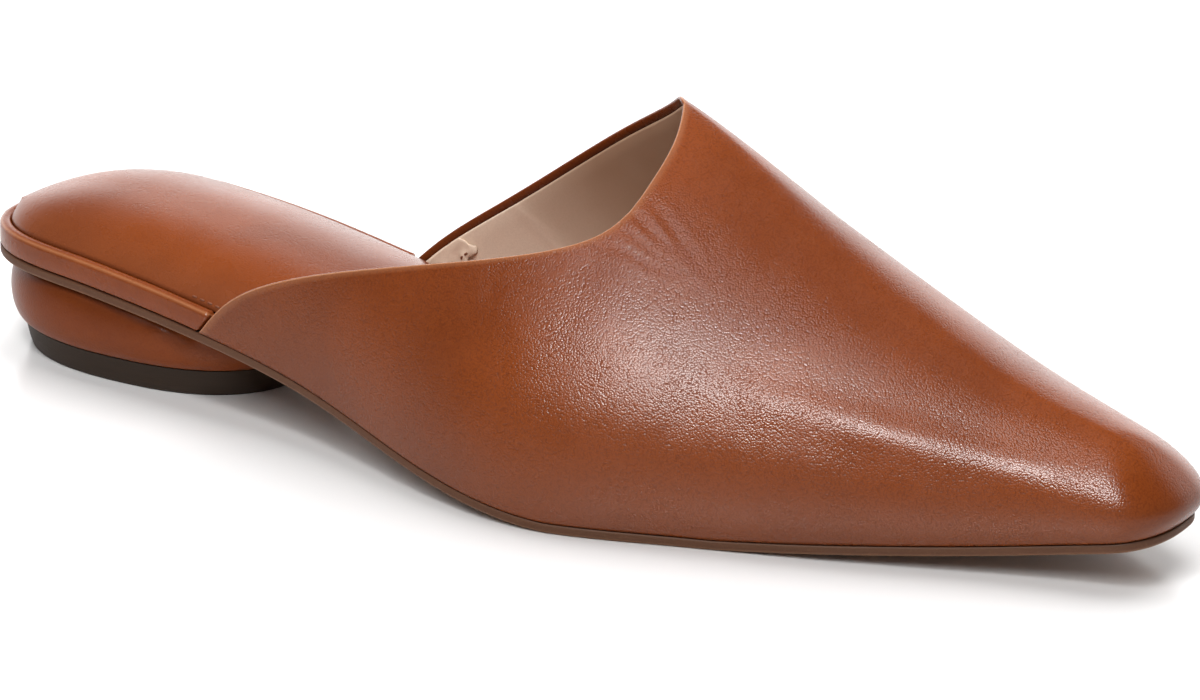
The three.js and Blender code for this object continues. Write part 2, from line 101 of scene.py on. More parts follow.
# Sections of the upper: height of the ridge as shares of the instep's rise and the toe's depth,
# squareness (2 is an ellipse), the ridge's place as a share of the ball width, and side bulges
SECTION_COLUMNS = ("along", "instep", "toe", "square", "ridge", "lateral", "medial")
SECTIONS = (
    (0.165, 1.094, 0, 1.99, 0, 0.12, 0.14),
    (0.328, 1.083, 0, 1.71, 0.105, 0.23, 0.49),
    (0.450, 1.071, 0, 1.62, 0.14, 0.56, 0.69),
    (0.552, 1.0, 0, 1.65, 0.122, 0.83, 0.79),
    (0.654, 0.83, 0, 1.8, 0.066, 1.015, 0.815),
    (0.756, 0.625, 0, 1.96, 0.014, 0.88, 0.77),
    (0.857, 0.3, 0.636, 2.11, -0.02, 0.68, 0.69),
    (0.939, 0.1, 0.963, 2.2, -0.025, 0.585, 0.6),
    (1.000, 0, 0.991, 2.27, -0.027, 0.54, 0.54),
)

# Top line of the upper: how far along the foot it lies at each place round the girth,
# from -1 at the outer sole edge over 0 at the ridge to 1 at the inner sole edge
TOP_COLUMNS = ("round", "along")
TOP_LINE = (
    (-1.00, 0.2238), (-0.90, 0.2549), (-0.80, 0.3081), (-0.70, 0.3763),
    (-0.60, 0.4518), (-0.52, 0.5117), (-0.46, 0.5468), (-0.40, 0.5668),
    (-0.30, 0.5777), (-0.15, 0.5771), (0.00, 0.5626), (0.15, 0.5493),
    (0.30, 0.5262), (0.45, 0.4827), (0.60, 0.4278), (0.75, 0.3671),
    (0.90, 0.3077), (1.00, 0.2774),
)


def columns(rows, names):
    """The rows of a table as one array for each named column."""
    return dict(zip(names, np.array(rows, dtype=float).T))


def smooth_step(value):
    """0 below nought, 1 above one, and 3t^2 - 2t^3 between."""
    t = np.clip(value, 0, 1)
    return t * t * (3 - 2 * t)


def mix(a, b, share):
    """a at share 0, b at share 1 and straight between."""
    return a + (b - a) * share


# Samples of a curve that is searched, and the step in stations that gives an edge its direction
CURVE_SAMPLES = 400
STATION_STEP = 0.0005

# Makes the bulge up * (1 - up)^2 reach 1 where it is highest, at up = 1/3
BULGE_SCALE = 27 / 4


class Spline:
    """Natural cubic spline: second derivatives solve the tridiagonal system of the knots."""

    def __init__(self, knots, values):
        self.knots = np.asarray(knots, dtype=float)
        self.values = np.asarray(values, dtype=float)
        gaps = np.diff(self.knots)
        slopes = np.diff(self.values) / gaps
        system = np.eye(len(self.knots))
        turn = np.zeros(len(self.knots))
        inner = np.arange(1, len(self.knots) - 1)
        system[inner, inner - 1] = gaps[:-1]
        system[inner, inner] = 2 * (gaps[:-1] + gaps[1:])
        system[inner, inner + 1] = gaps[1:]
        turn[inner] = 6 * np.diff(slopes)
        self.bend = np.linalg.solve(system, turn)

    def __call__(self, x):
        """The straight line between two knots plus a cubic bow from the second derivatives."""
        k = np.clip(np.searchsorted(self.knots, x) - 1, 0, len(self.knots) - 2)
        gap = self.knots[k + 1] - self.knots[k]
        a = (self.knots[k + 1] - x) / gap
        b = 1 - a
        bow = ((a**3 - a) * self.bend[k] + (b**3 - b) * self.bend[k + 1]) * gap**2 / 6
        return a * self.values[k] + b * self.values[k + 1] + bow


class Last:
    """The form the shoe is built round: every surface below is worked out from these curves."""

    def __init__(self, sizes):
        self.sizes = sizes
        self.length = SHOE_LENGTH
        plan = columns(PLAN, PLAN_COLUMNS)
        width = (
            plan["of_heel"] * sizes.heel_width
            + plan["of_ball"] * sizes.ball_width
            + plan["of_toe"] * sizes.toe_width
        )
        along = plan["along"] * self.length
        self.half = {
            LATERAL: Spline(along, width * plan["lateral"]),
            MEDIAL: Spline(along, width * plan["medial"]),
        }
        side = columns(SOLE_SIDE, SIDE_COLUMNS)
        height = side["heel"] * sizes.heel_height + side["toe"] * sizes.toe_spring
        self.sole_path = Spline(side["along"] * self.length, height)
        cut = columns(SECTIONS, SECTION_COLUMNS)
        along = cut["along"] * self.length
        self.rise = Spline(along, cut["instep"] * sizes.instep_rise + cut["toe"] * sizes.toe_depth)
        self.square = Spline(along, cut["square"])
        self.ridge = Spline(along, cut["ridge"] * sizes.ball_width)
        self.bulge = {
            LATERAL: Spline(along, cut["lateral"] * sizes.side_fullness),
            MEDIAL: Spline(along, cut["medial"] * sizes.side_fullness),
        }
        top = columns(TOP_LINE, TOP_COLUMNS)
        self.top_line = Spline(top["round"], top["along"] * self.length)
        edge_y = self.edge(np.linspace(0, 1, CURVE_SAMPLES), LATERAL)[1]
        self.heel_x = SOLE_LOW[0]
        self.heel_y = SOLE_LOW[1] - edge_y.min()

    def underside(self, x):
        """The side view of the sole, never below the floor."""
        return np.maximum(0, self.sole_path(x))

    def sole_top(self, x):
        """The underside raised by the thickness of the sheet."""
        return self.underside(x) + self.sizes.outsole_thickness

    def station(self, x):
        """Station from 0 at the heel to 1 at the tip: x is half of 1 - cos(pi * station)."""
        return np.arccos(np.clip(1 - 2 * x / self.length, -1, 1)) / math.pi

    def edge(self, station, side):
        """The sole's edge: half widths from the plan, closed by a quarter ellipse at the heel
        and a quarter superellipse at the toe."""
        x = self.length * (1 - np.cos(math.pi * station)) / 2
        curve = self.sizes.heel_curve_lateral if side == LATERAL else self.sizes.heel_curve_medial
        heel = np.clip(1 - x / curve, 0, 1)
        toe = np.clip((x - self.length) / self.sizes.toe_curve + 1, 0, 1)
        y = mix(-self.sizes.heel_set, side * self.half[side](x), np.sqrt(1 - heel * heel))
        blunt = self.sizes.toe_bluntness
        return x, mix(self.sizes.toe_set, y, (1 - toe**blunt) ** (1 / blunt))

    def feather(self, station, side):
        """The sole's edge with its outward direction in plan, from neighbouring points."""
        x, y = self.edge(station, side)
        xa, ya = self.edge(np.maximum(station - STATION_STEP, 0), side)
        xb, yb = self.edge(np.minimum(station + STATION_STEP, 1), side)
        length = np.hypot(xb - xa, yb - ya)
        out_x, out_y = -side * (yb - ya) / length, side * (xb - xa) / length
        at_end = (station <= 0) | (station >= 1)
        out_x = np.where(at_end, np.where(station <= 0, -1.0, 1.0), out_x)
        return x, y, out_x, np.where(at_end, 0.0, out_y)

    def upper(self, station, climb, side):
        """Outer face of the upper: a superellipse from the sole's edge (climb 0) to the ridge
        (climb 1), pushed outwards low down, its ridge points bunched up behind the tip."""
        x, y, out_x, out_y = self.feather(station, side)
        fan_start = self.length - 2 * self.sizes.toe_slope
        fan = np.clip((x - fan_start) / (self.length - fan_start), 0, 1)
        ridge_x = np.minimum(x, fan_start) + self.sizes.toe_slope * (1 - (1 - fan) ** 2)
        power = 2 / self.square(x)
        out = np.maximum(np.cos(climb * math.pi / 2), 0) ** power
        up = np.sin(climb * math.pi / 2) ** power
        bulge = self.bulge[side](x) * BULGE_SCALE * up * (1 - up) ** 2
        px = mix(ridge_x, x, out) + out_x * bulge
        py = mix(self.ridge(ridge_x), y, out) + out_y * bulge
        inside = np.minimum(px, self.length)
        gap = self.sizes.fit_gap
        pz = self.sole_top(inside) + gap + (self.rise(inside) - gap) * up
        return np.stack(np.broadcast_arrays(px, py, pz), axis=-1)

    def place(self, points):
        """Points of the last moved into the frame."""
        return points + np.array([self.heel_x, self.heel_y, 0.0])


# Meshes from grids of points

# Points this near are merged, edges this short dissolved, and lengths kept from being nothing
MERGE_DISTANCE = 0.002 * MM
SHORTEST_EDGE = 0.001 * MM
TINY = 1e-12


def unit(vectors):
    """Vectors over their own lengths."""
    return vectors / np.maximum(np.linalg.norm(vectors, axis=-1, keepdims=True), TINY)


def surface_normals(points):
    """Unit normals of a grid, from the cross product of its two directions."""
    return unit(np.cross(np.gradient(points, axis=1), np.gradient(points, axis=0)))


def grid_quads(rows, cols, closed, first):
    """Quads of a grid whose points are numbered row by row from first on. In a closed grid the
    last column joins the first."""
    r = np.arange(rows - 1)[:, None]
    c = np.arange(cols if closed else cols - 1)[None, :]
    right = (c + 1) % cols
    corners = [r * cols + c, r * cols + right, (r + 1) * cols + right, (r + 1) * cols + c]
    return first + np.stack(corners, axis=-1).reshape(-1, 4)


def join_grids(grids):
    """Vertices, quads and vertex attributes of several grids. Each is a dict of its points, of
    closed where its columns make rings, and of attributes, which spread over its points."""
    vertices, quads, first = [], [], 0
    for grid in grids:
        rows, cols = grid["points"].shape[:2]
        vertices.append(grid["points"].reshape(-1, 3))
        quads.append(grid_quads(rows, cols, grid.get("closed", False), first))
        first += rows * cols

    def spread(key):
        values = [np.broadcast_to(grid["attributes"][key], grid["points"].shape[:2]) for grid in grids]
        return np.concatenate([value.ravel() for value in values])

    attributes = {key: spread(key) for key in grids[0].get("attributes", {})}
    return np.concatenate(vertices), np.concatenate(quads), attributes


def put_mesh(name, grids):
    """A mesh object from grids. Doubles are merged first and all faces then turned outwards."""
    vertices, quads, attributes = join_grids(grids)
    mesh = bpy.data.meshes.new(name)
    mesh.from_pydata(vertices.tolist(), [], quads.tolist())
    for key, values in attributes.items():
        layer = mesh.attributes.new(key, "FLOAT", "POINT")
        layer.data.foreach_set("value", values.astype(np.float32))
    work = bmesh.new()
    work.from_mesh(mesh)
    bmesh.ops.remove_doubles(work, verts=work.verts, dist=MERGE_DISTANCE)
    bmesh.ops.dissolve_degenerate(work, edges=work.edges, dist=SHORTEST_EDGE)
    bmesh.ops.recalc_face_normals(work, faces=work.faces)
    work.to_mesh(mesh)
    work.free()
    mesh.shade_smooth()
    piece = bpy.data.objects.new(name, mesh)
    bpy.context.scene.collection.objects.link(piece)
    return piece


def dress(piece, material, node, replaces=True):
    """Gives a piece its material and hangs it on the root body; if it replaces a solid, that solid
    is hidden."""
    piece.data.materials.append(material)
    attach(piece, "root")
    if replaces:
        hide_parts(node)


# Shader nodes written as Python expressions


def maths(operation, reflected=False):
    """A method of Wire that adds a Math node, its two values swapped if it is reflected."""

    def method(wire, other):
        values = [other, wire] if reflected else [wire, other]
        return wire.graph.node("ShaderNodeMath", {"operation": operation}, values)

    return method


class Wire:
    """A node's output. Used in an expression, it adds Math nodes."""

    __add__, __radd__ = maths("ADD"), maths("ADD", True)
    __sub__, __rsub__ = maths("SUBTRACT"), maths("SUBTRACT", True)
    __mul__, __rmul__ = maths("MULTIPLY"), maths("MULTIPLY", True)

    def __init__(self, graph, socket):
        self.graph = graph
        self.socket = socket


class Graph:
    """Adds nodes to a tree: node() makes any of them, the other methods name the common ones."""

    def __init__(self, tree):
        self.tree = tree

    def node(self, kind, settings=None, inputs=(), output=0):
        """Adds a node, sets its settings first, then the values or links of its sockets, which
        come as a list in their order or as a dict."""
        made = self.tree.nodes.new(kind)
        for key, value in (settings or {}).items():
            setattr(made, key, value)
        pairs = inputs.items() if isinstance(inputs, dict) else enumerate(inputs)
        for key, value in pairs:
            self.feed(made.inputs[key], value)
        return Wire(self, made.outputs[output])

    def feed(self, socket, value):
        if isinstance(value, Wire):
            self.tree.links.new(value.socket, socket)
        else:
            socket.default_value = value

    def ramp(self, value, low, high):
        """0 at low, 1 at high, smooth between."""
        settings = {"interpolation_type": "SMOOTHSTEP"}
        return self.node("ShaderNodeMapRange", settings, [value, low, high, 0.0, 1.0])

    def blend(self, factor, a, b):
        """Mixes two colours: a Mix node has them in its sockets 6 and 7 and gives them as its 2."""
        return self.node("ShaderNodeMix", {"data_type": "RGBA"}, {0: factor, 6: a, 7: b}, output=2)


class Paint(Graph):
    """Builds one material out of patterns in Object coordinates and vertex attributes."""

    def __init__(self, name):
        self.material = bpy.data.materials.new(name)
        self.material.use_nodes = True
        super().__init__(self.material.node_tree)
        self.shader = self.tree.nodes["Principled BSDF"]

    def place(self, stretch=(1, 1, 1)):
        """Object coordinates in millimetres, stretched along each axis."""
        where = self.node("ShaderNodeTexCoord", output="Object")
        size = [share / MM for share in stretch]
        return self.node("ShaderNodeMapping", {}, {"Vector": where, "Scale": size})

    def noise(self, name):
        """One of the NOISES, from 0 to 1."""
        pattern = NOISES[name]
        inputs = {
            "Vector": self.place(pattern.stretch),
            "Scale": pattern.scale,
            "Detail": pattern.detail,
            "Roughness": pattern.rough,
        }
        return self.node("ShaderNodeTexNoise", {}, inputs)

    def fade(self, value, name):
        """A pattern faded in over its range among the FADES."""
        return self.ramp(value, *FADES[name])

    def attribute(self, name):
        return self.node("ShaderNodeAttribute", {"attribute_name": name}, output="Fac")

    def bump(self, height, relief, share=1.0):
        """Normals of a relief, at a share of its strength."""
        inputs = {"Height": height, "Strength": share * relief.strength, "Distance": relief.depth}
        return self.node("ShaderNodeBump", {}, inputs)

    def finish(self, color, roughness, normal=None, **constants):
        """Feeds the shader and gives the material. Constants are the shader's other sockets."""
        self.feed(self.shader.inputs["Base Color"], color)
        self.feed(self.shader.inputs["Roughness"], roughness)
        if normal is not None:
            self.feed(self.shader.inputs["Normal"], normal)
        for key, value in constants.items():
            self.shader.inputs[key.replace("_", " ")].default_value = value
        return self.material


# Finishes

# Noise patterns: waves in a millimetre, detail, roughness and stretch along each axis
Noise = namedtuple("Noise", "scale detail rough stretch", defaults=(0.5, (1, 1, 1)))
NOISES = {
    "tone_drift": Noise(0.03, 2.0),
    "mottle": Noise(0.4, 4.0, 0.6),
    "grain_warp": Noise(1.3, 2.0),
    "pores": Noise(3.2, 3.0, 0.6),
    "grain_patches": Noise(0.07, 2.0),
    "polish": Noise(0.12, 3.0),
    "lining_drift": Noise(0.05, 2.0),
    "nap": Noise(2.6, 4.0, 0.7),
    "twist": Noise(1.6, 2.0, 0.5, (2.5, 1.0, 2.5)),
    "streaks": Noise(0.5, 4.0, 0.65, (0.25, 0.25, 3.0)),
    "specks": Noise(2.2, 3.0, 0.6),
    "floor_clouds": Noise(0.004, 2.0),
}

# Values between which each pattern fades in
FADES = {
    "tone_drift": (0.35, 0.65),
    "mottle": (0.35, 0.8),
    "grain_patches": (0.3, 0.7),
    "polish": (0.2, 0.8),
    "cracks": (0.4, 0.8),
    "nap": (0.3, 0.8),
    "twist": (0.35, 0.65),
    "streaks": (0.3, 0.7),
    "specks": (0.5, 0.85),
}

# Reliefs of the finishes: strength of the bump and the height that it stands for
Relief = namedtuple("Relief", "strength depth")
GRAIN_RELIEF = Relief(0.3, 0.2 * MM)
NAP_RELIEF = Relief(0.3, 0.12 * MM)
TWIST_RELIEF = Relief(0.4, 0.1 * MM)
STOCK_RELIEF = Relief(0.3, 0.12 * MM)

# Leather: size of a grain in millimetres, how far noise bends its outline, how strongly the
# pores, the mottle and the dark lines between the grains show, the least strength of the grain
# and how much more it has in patches, and how the roughness varies
GRAIN_SIZE = 0.4
GRAIN_WARP = 0.12
PORE_SHARE = 0.25
MOTTLE_SHARE = 0.14
CRACK_SHARE = 0.5
PATCH_LEAST, PATCH_MORE = 0.8, 0.4
POLISH_SPREAD = 0.06
TIGHT_POLISH = 0.04

# Vertex attributes that tint the leather, in this order, with their colour and their most share:
# painted shade low down, a painted highlight over a burnished edge, and painted shade inside
LEATHER_TINTS = (("low", "leather_painted_shade", 0.5), ("edge", "leather_burnish_and_highlight", 1.0), ("inside", "facing", 1.0))

# Lining and thread: how much the nap tints, the least of the painted shade deeper in and how much
# more it has in patches, roughness and gloss
NAP_SHARE = 0.2
DEEP_LEAST, DEEP_MORE = 0.75, 0.4
CLOTH_ROUGHNESS = 0.6
CLOTH_GLOSS = 0.3

# Sheet and lift stock: brightness of a streak, how strongly streaks and specks show and stand
# out, roughness with its spread, and gloss
STREAK_SHADE = 0.72
STREAK_SHARE, SPECK_SHARE = 0.5, 0.35
STREAK_HEIGHT, SPECK_HEIGHT = 0.7, 0.3
STOCK_ROUGHNESS, STOCK_SPREAD = 0.5, 0.12
STOCK_GLOSS = 0.22


def leather(name, colors, masks, grain=1.0, rough=0.24, gloss=0.29):
    """Smooth tan leather: a drift of tone, fine pebble grain and pores. Masks name the vertex
    attributes that the piece carries: low (painted shade low down), edge (painted highlight over
    a burnished edge), inside (painted shade on the facing and under the sole) and tight (pulled smooth)."""
    paint = Paint(name)
    drift = paint.fade(paint.noise("tone_drift"), "tone_drift")
    tone = paint.blend(drift, colors.leather_deep[:], colors.leather[:])
    mottle = paint.fade(paint.noise("mottle"), "mottle")
    tone = paint.blend(mottle * MOTTLE_SHARE, tone, colors.leather_pale[:])
    bent = [paint.noise("grain_warp"), (GRAIN_WARP,) * 3, paint.place()]
    spot = paint.node("ShaderNodeVectorMath", {"operation": "MULTIPLY_ADD"}, bent)
    pebble = paint.node("ShaderNodeTexVoronoi", {}, {"Vector": spot, "Scale": 1 / GRAIN_SIZE})
    height = paint.noise("pores") * PORE_SHARE - pebble * pebble
    patches = paint.fade(paint.noise("grain_patches"), "grain_patches")
    strength = (patches * PATCH_MORE + PATCH_LEAST) * grain
    roughness = paint.fade(paint.noise("polish"), "polish") * POLISH_SPREAD + rough
    cracks = paint.fade(pebble, "cracks") * (CRACK_SHARE * grain)
    tone = paint.blend(cracks, tone, colors.leather_crack[:])
    for mask, color, most in LEATHER_TINTS:
        if mask in masks:
            tone = paint.blend(paint.attribute(mask) * most, tone, getattr(colors, color)[:])
    if "tight" in masks:
        tight = paint.attribute("tight")
        strength = (1.0 - tight) * strength
        roughness = roughness - tight * TIGHT_POLISH
    normal = paint.bump(height, GRAIN_RELIEF, strength)
    return paint.finish(tone, roughness, normal, Specular_IOR_Level=gloss)


def lining_cloth(name, colors):
    """Pale lining: short nap, and painted shade deeper in the shoe where the attribute deep says so."""
    paint = Paint(name)
    deep = paint.attribute("deep") * (paint.noise("lining_drift") * DEEP_MORE + DEEP_LEAST)
    tone = paint.blend(deep, colors.lining[:], colors.lining_shade_and_nap[:])
    nap = paint.noise("nap")
    tone = paint.blend(paint.fade(nap, "nap") * NAP_SHARE, tone, colors.lining_shade_and_nap[:])
    normal = paint.bump(nap, NAP_RELIEF)
    return paint.finish(tone, CLOTH_ROUGHNESS, normal, Specular_IOR_Level=CLOTH_GLOSS)


def thread_cord(name, colors):
    """Dark sewing thread: two tones twisted in fine slanted bands."""
    paint = Paint(name)
    twist = paint.noise("twist")
    tone = paint.blend(paint.fade(twist, "twist"), colors.thread[:], colors.leather_deep[:])
    return paint.finish(tone, CLOTH_ROUGHNESS, paint.bump(twist, TWIST_RELIEF))


def sole_stock(name, base, worn, edge_wear_and_highlight=False):
    """Sheet or lift stock: fine streaks along the cut side and specks of wear, and a paler edge, wear
    with a painted highlight, where the piece carries that attribute."""
    paint = Paint(name)
    streak = paint.noise("streaks")
    shade = [part * STREAK_SHADE for part in base[:3]] + [1.0]
    tone = paint.blend(paint.fade(streak, "streaks") * STREAK_SHARE, base, shade)
    speck = paint.noise("specks")
    tone = paint.blend(paint.fade(speck, "specks") * SPECK_SHARE, tone, worn)
    if edge_wear_and_highlight:
        tone = paint.blend(paint.attribute("worn"), tone, worn)
    normal = paint.bump(streak * STREAK_HEIGHT + speck * SPECK_HEIGHT, STOCK_RELIEF)
    roughness = paint.fade(speck, "polish") * STOCK_SPREAD + STOCK_ROUGHNESS
    return paint.finish(tone, roughness, normal, Specular_IOR_Level=STOCK_GLOSS)


# Property groups: what a user of the add-on would change


def number_prop(name, description, default, **kind):
    return bpy.props.FloatProperty(name=name, description=description, default=default, **kind)


def length_prop(name, description, default):
    return number_prop(name, description, default, unit="LENGTH", subtype="DISTANCE", precision=5)


def angle_prop(name, description, degrees):
    return number_prop(name, description, math.radians(degrees), subtype="ANGLE")


def color_prop(name, description, default):
    return bpy.props.FloatVectorProperty(
        name=name, description=description, default=(*default, 1.0), size=4, subtype="COLOR", min=0, max=1
    )


class MuleSizes(bpy.types.PropertyGroup):
    """Driving sizes of the shoe."""

    heel_width: length_prop("Heel width", "Across the seat", 53 * MM)
    ball_width: length_prop("Ball width", "Across the forefoot", 76 * MM)
    toe_width: length_prop("Toe width", "Across the blunt tip", 26 * MM)
    heel_height: length_prop("Heel height", "Floor to the outsole under the heel", 18.5 * MM)
    toe_spring: length_prop("Toe spring", "Floor to the outsole at the tip", 9.1 * MM)
    instep_rise: length_prop("Instep rise", "Outsole to the ridge at the throat", 70 * MM)
    toe_depth: length_prop("Toe depth", "Outsole to the top of the toe", 14 * MM)
    side_fullness: length_prop("Side fullness", "Bulge of the upper past the sole", 3.6 * MM)
    toe_set: length_prop("Toe set", "How far the tip lies to the inner side", 3.6 * MM)
    heel_set: length_prop("Heel set", "How far the heel's back lies to the outer side", 8.5 * MM)
    heel_curve_lateral: length_prop("Outer heel curve", "Length of the heel's round outside", 41.6 * MM)
    heel_curve_medial: length_prop("Inner heel curve", "Length of the heel's round inside", 28.8 * MM)
    toe_curve: length_prop("Toe curve", "Length of the tip's round", 10.8 * MM)
    toe_slope: length_prop("Toe slope", "How far the toe's front leans back", 14 * MM)
    toe_bluntness: number_prop("Toe bluntness", "2 is round", 2.6)
    outsole_thickness: length_prop("Outsole thickness", "Thickness of the sheet", 2 * MM)
    outsole_bevel: length_prop("Outsole bevel", "Bevel of its lower edge", 0.8 * MM)
    leather_thickness: length_prop("Leather thickness", "Outer leather of the upper", 0.75 * MM)
    wall: length_prop("Upper wall", "Leather and lining together", 1.6 * MM)
    facing: length_prop("Facing width", "Leather turned inside along the top line", 2.1 * MM)
    rim_height: length_prop("Rim height", "Wrapped footbed above the outsole", 5.2 * MM)
    board_height: length_prop("Board height", "Footbed under the forefoot", 3.2 * MM)
    lip_width: length_prop("Lip width", "Raised lip round the sock", 2.2 * MM)
    lip_radius: length_prop("Lip radius", "Round of the lip", 1.1 * MM)
    recess: length_prop("Recess", "Depth the sock is let in", 1.0 * MM)
    sock_edge: length_prop("Sock edge", "Thickness at the tucked edge", 1.2 * MM)
    sock_crown: length_prop("Sock crown", "Padding above the edge", 5.2 * MM)
    toe_shoulder: length_prop("Toe shoulder", "Height of the soft ridge beside the toe", 0.8 * MM)
    lining_fold: length_prop("Lining fold", "From the heel to the fold in the lining", 100 * MM)
    sock_ramp: length_prop("Sock ramp", "Length over which the padding builds up", 24 * MM)
    lift_flare: length_prop("Lift flare", "Extra width at the lift's top", 1.3 * MM)
    block_bulge: length_prop("Block bulge", "How far the block stands out", 3.8 * MM)
    block_tuck: length_prop("Block tuck", "How far it draws in at its ends", 2.8 * MM)
    fit_gap: length_prop("Fit gap", "Between neighbouring pieces", 0.3 * MM)


class MuleColours(bpy.types.PropertyGroup):
    """Colours of the finishes, as linear values."""

    leather: color_prop("Leather", "Main tan", (0.25, 0.050, 0.006))
    leather_deep: color_prop("Deep leather", "Darker drift", (0.19, 0.038, 0.006))
    leather_pale: color_prop("Pale leather", "Paler mottle", (0.30, 0.08, 0.02))
    # Painted shade: a darker copy of the tan, low on the vamp's sides and on the sock's edge and slopes
    leather_painted_shade: color_prop("Dusky leather", "Low on the side", (0.165, 0.048, 0.018))
    leather_crack: color_prop("Leather cracks", "Between the grains", (0.13, 0.024, 0.004))
    # Burnish with a painted highlight: a pale tan along the vamp's turned edge and the lip's crest
    leather_burnish_and_highlight: color_prop("Leather edge", "Burnished edge", (0.55, 0.25, 0.12))
    # Painted shade: a dark copy of the tan on the turned-in facing and, in part, on the heel block under
    # the sole
    facing: color_prop("Facing", "Dark band inside", (0.06, 0.014, 0.004))
    lining: color_prop("Lining", "Beige lining", (0.80, 0.62, 0.48))
    # Painted shade deeper in the lining, also the darker tone of its nap
    lining_shade_and_nap: color_prop("Deep lining", "Warmer lining", (0.40, 0.235, 0.14))
    outsole: color_prop("Outsole", "Taupe sheet", (0.12, 0.048, 0.022))
    # Wear with a painted highlight: the paler tan of specks, of the underside's wear and of the bevel's
    # lower edge
    outsole_wear_and_highlight: color_prop("Worn outsole", "Its paler edge", (0.26, 0.13, 0.07))
    lift: color_prop("Lift", "Dark lift", (0.034, 0.018, 0.009))
    lift_worn: color_prop("Worn lift", "Its scuffs", (0.07, 0.042, 0.025))
    thread: color_prop("Thread", "Stitching", (0.20, 0.06, 0.02))
    floor: color_prop("Floor", "Pale floor", (0.86, 0.86, 0.86))


class MuleStage(bpy.types.PropertyGroup):
    """Camera and light."""

    azimuth: angle_prop("Azimuth", "From the outer side towards the toe", 29.59)
    elevation: angle_prop("Elevation", "Above the floor", 21.76)
    roll: angle_prop("Roll", "About the line of sight", 0.81)
    distance: length_prop("Distance", "Camera to its target", 1.3895)
    focal: number_prop("Focal length", "Of the lens", 214.7, unit="CAMERA")
    target_along: length_prop("Target along", "From the heel's back", 131.81 * MM)
    target_up: length_prop("Target up", "Above the floor", 24.76 * MM)
    ceiling: number_prop("Ceiling", "Its radiance", 5.0)
    box: number_prop("Top box", "Its radiance", 20.0)
    strip: number_prop("Toe strip", "Its radiance", 280.0)
    fill: number_prop("Front fill", "Its radiance", 5.8)
    sky: number_prop("Sky", "Radiance all round", 0.12)
    screen: number_prop("Screen", "Radiance behind the shoe", 2.6)


# The upper: steps from a sole edge to the ridge, from the top line to the toe, and round the
# turned edges of the leather and of the lining, how strongly shares crowd towards the toe, the
# most that a start moves in, in stations, and vectors that mirror y and that drop it
ROUND_STEPS = 110
ALONG_STEPS = 170
EDGE_STEPS = 7
LINING_EDGE_STEPS = 3
TOE_CROWDING = 1.25
FARTHEST_START = 0.06
MIRROR_Y = np.array([1, -1, 1])
LEVEL = np.array([1, 0, 1])


def toe_crowded(count):
    """Shares from 0 to 1 in a count of steps that shorten towards 1."""
    return 1 - (1 - np.linspace(0, 1, count + 1)) ** TOE_CROWDING


def upper_grid(last, margin, along_steps):
    """The outer face over the whole girth: rows run round it from the outer to the inner sole
    edge, and columns from the top line, moved in by a margin, to the toe."""
    girth = np.linspace(-1, 1, 2 * ROUND_STEPS + 1)
    climb = 1 - np.abs(girth)
    start = last.station(last.top_line(girth))
    share = toe_crowded(along_steps)

    def faces(begin):
        station = mix(begin[:, None], 1.0, share[None, :])
        low = last.upper(station, climb[:, None], LATERAL)
        high = last.upper(station, climb[:, None], MEDIAL)
        return np.where((girth <= 0)[:, None, None], low, high)

    points = faces(start)
    ahead = points[:, 1] - points[:, 0]
    beside = unit(np.gradient(points[:, 0], axis=0))
    clear = np.linalg.norm(ahead - (ahead * beside).sum(-1, keepdims=True) * beside, axis=-1)
    step = share[1] * (1 - start)
    moved = start + margin * step / np.maximum(clear, TINY)
    return girth, faces(np.minimum(moved, start + FARTHEST_START))


def upper_normals(points):
    """Outward normals of the upper's grid. The two sides share theirs at the toe, and the ridge,
    whose points meet in one at its end, takes the mean of the rows beside it."""
    normals = surface_normals(points)
    tip = (normals[:, -1] + normals[::-1, -1] * MIRROR_Y) * LEVEL
    tip[ROUND_STEPS] = tip[ROUND_STEPS - 1]
    normals[:, -1] = unit(tip)
    normals[ROUND_STEPS] = unit(normals[ROUND_STEPS - 1] + normals[ROUND_STEPS + 1])
    return normals


def shell(points, normals, outside, inside, edge_steps):
    """A sheet between two offsets inward, as one grid: outer face from the toe back to the top
    line, round a half-circle edge, and the inner face back to the toe."""
    outer = points - normals * outside
    inner = points - normals * inside
    middle = (outer[:, 0] + inner[:, 0]) / 2
    radius = (inside - outside) / 2
    away = np.cross(normals[:, 0], unit(np.gradient(points[:, 0], axis=0)))
    away *= np.sign((away * (outer[:, 0] - outer[:, 1])).sum(-1, keepdims=True))
    angle = np.linspace(0, math.pi, edge_steps + 2)[1:-1][None, :, None]
    turned = np.cos(angle) * normals[:, None, 0] + np.sin(angle) * away[:, None]
    return np.concatenate([outer[:, ::-1], middle[:, None] + radius * turned, inner], axis=1)


def close_bottom(grid, cols):
    """Strips that join the outer and inner face along the two sole edges."""
    return [np.stack([grid[row, :cols][::-1], grid[row, -cols:]]) for row in (0, -1)]


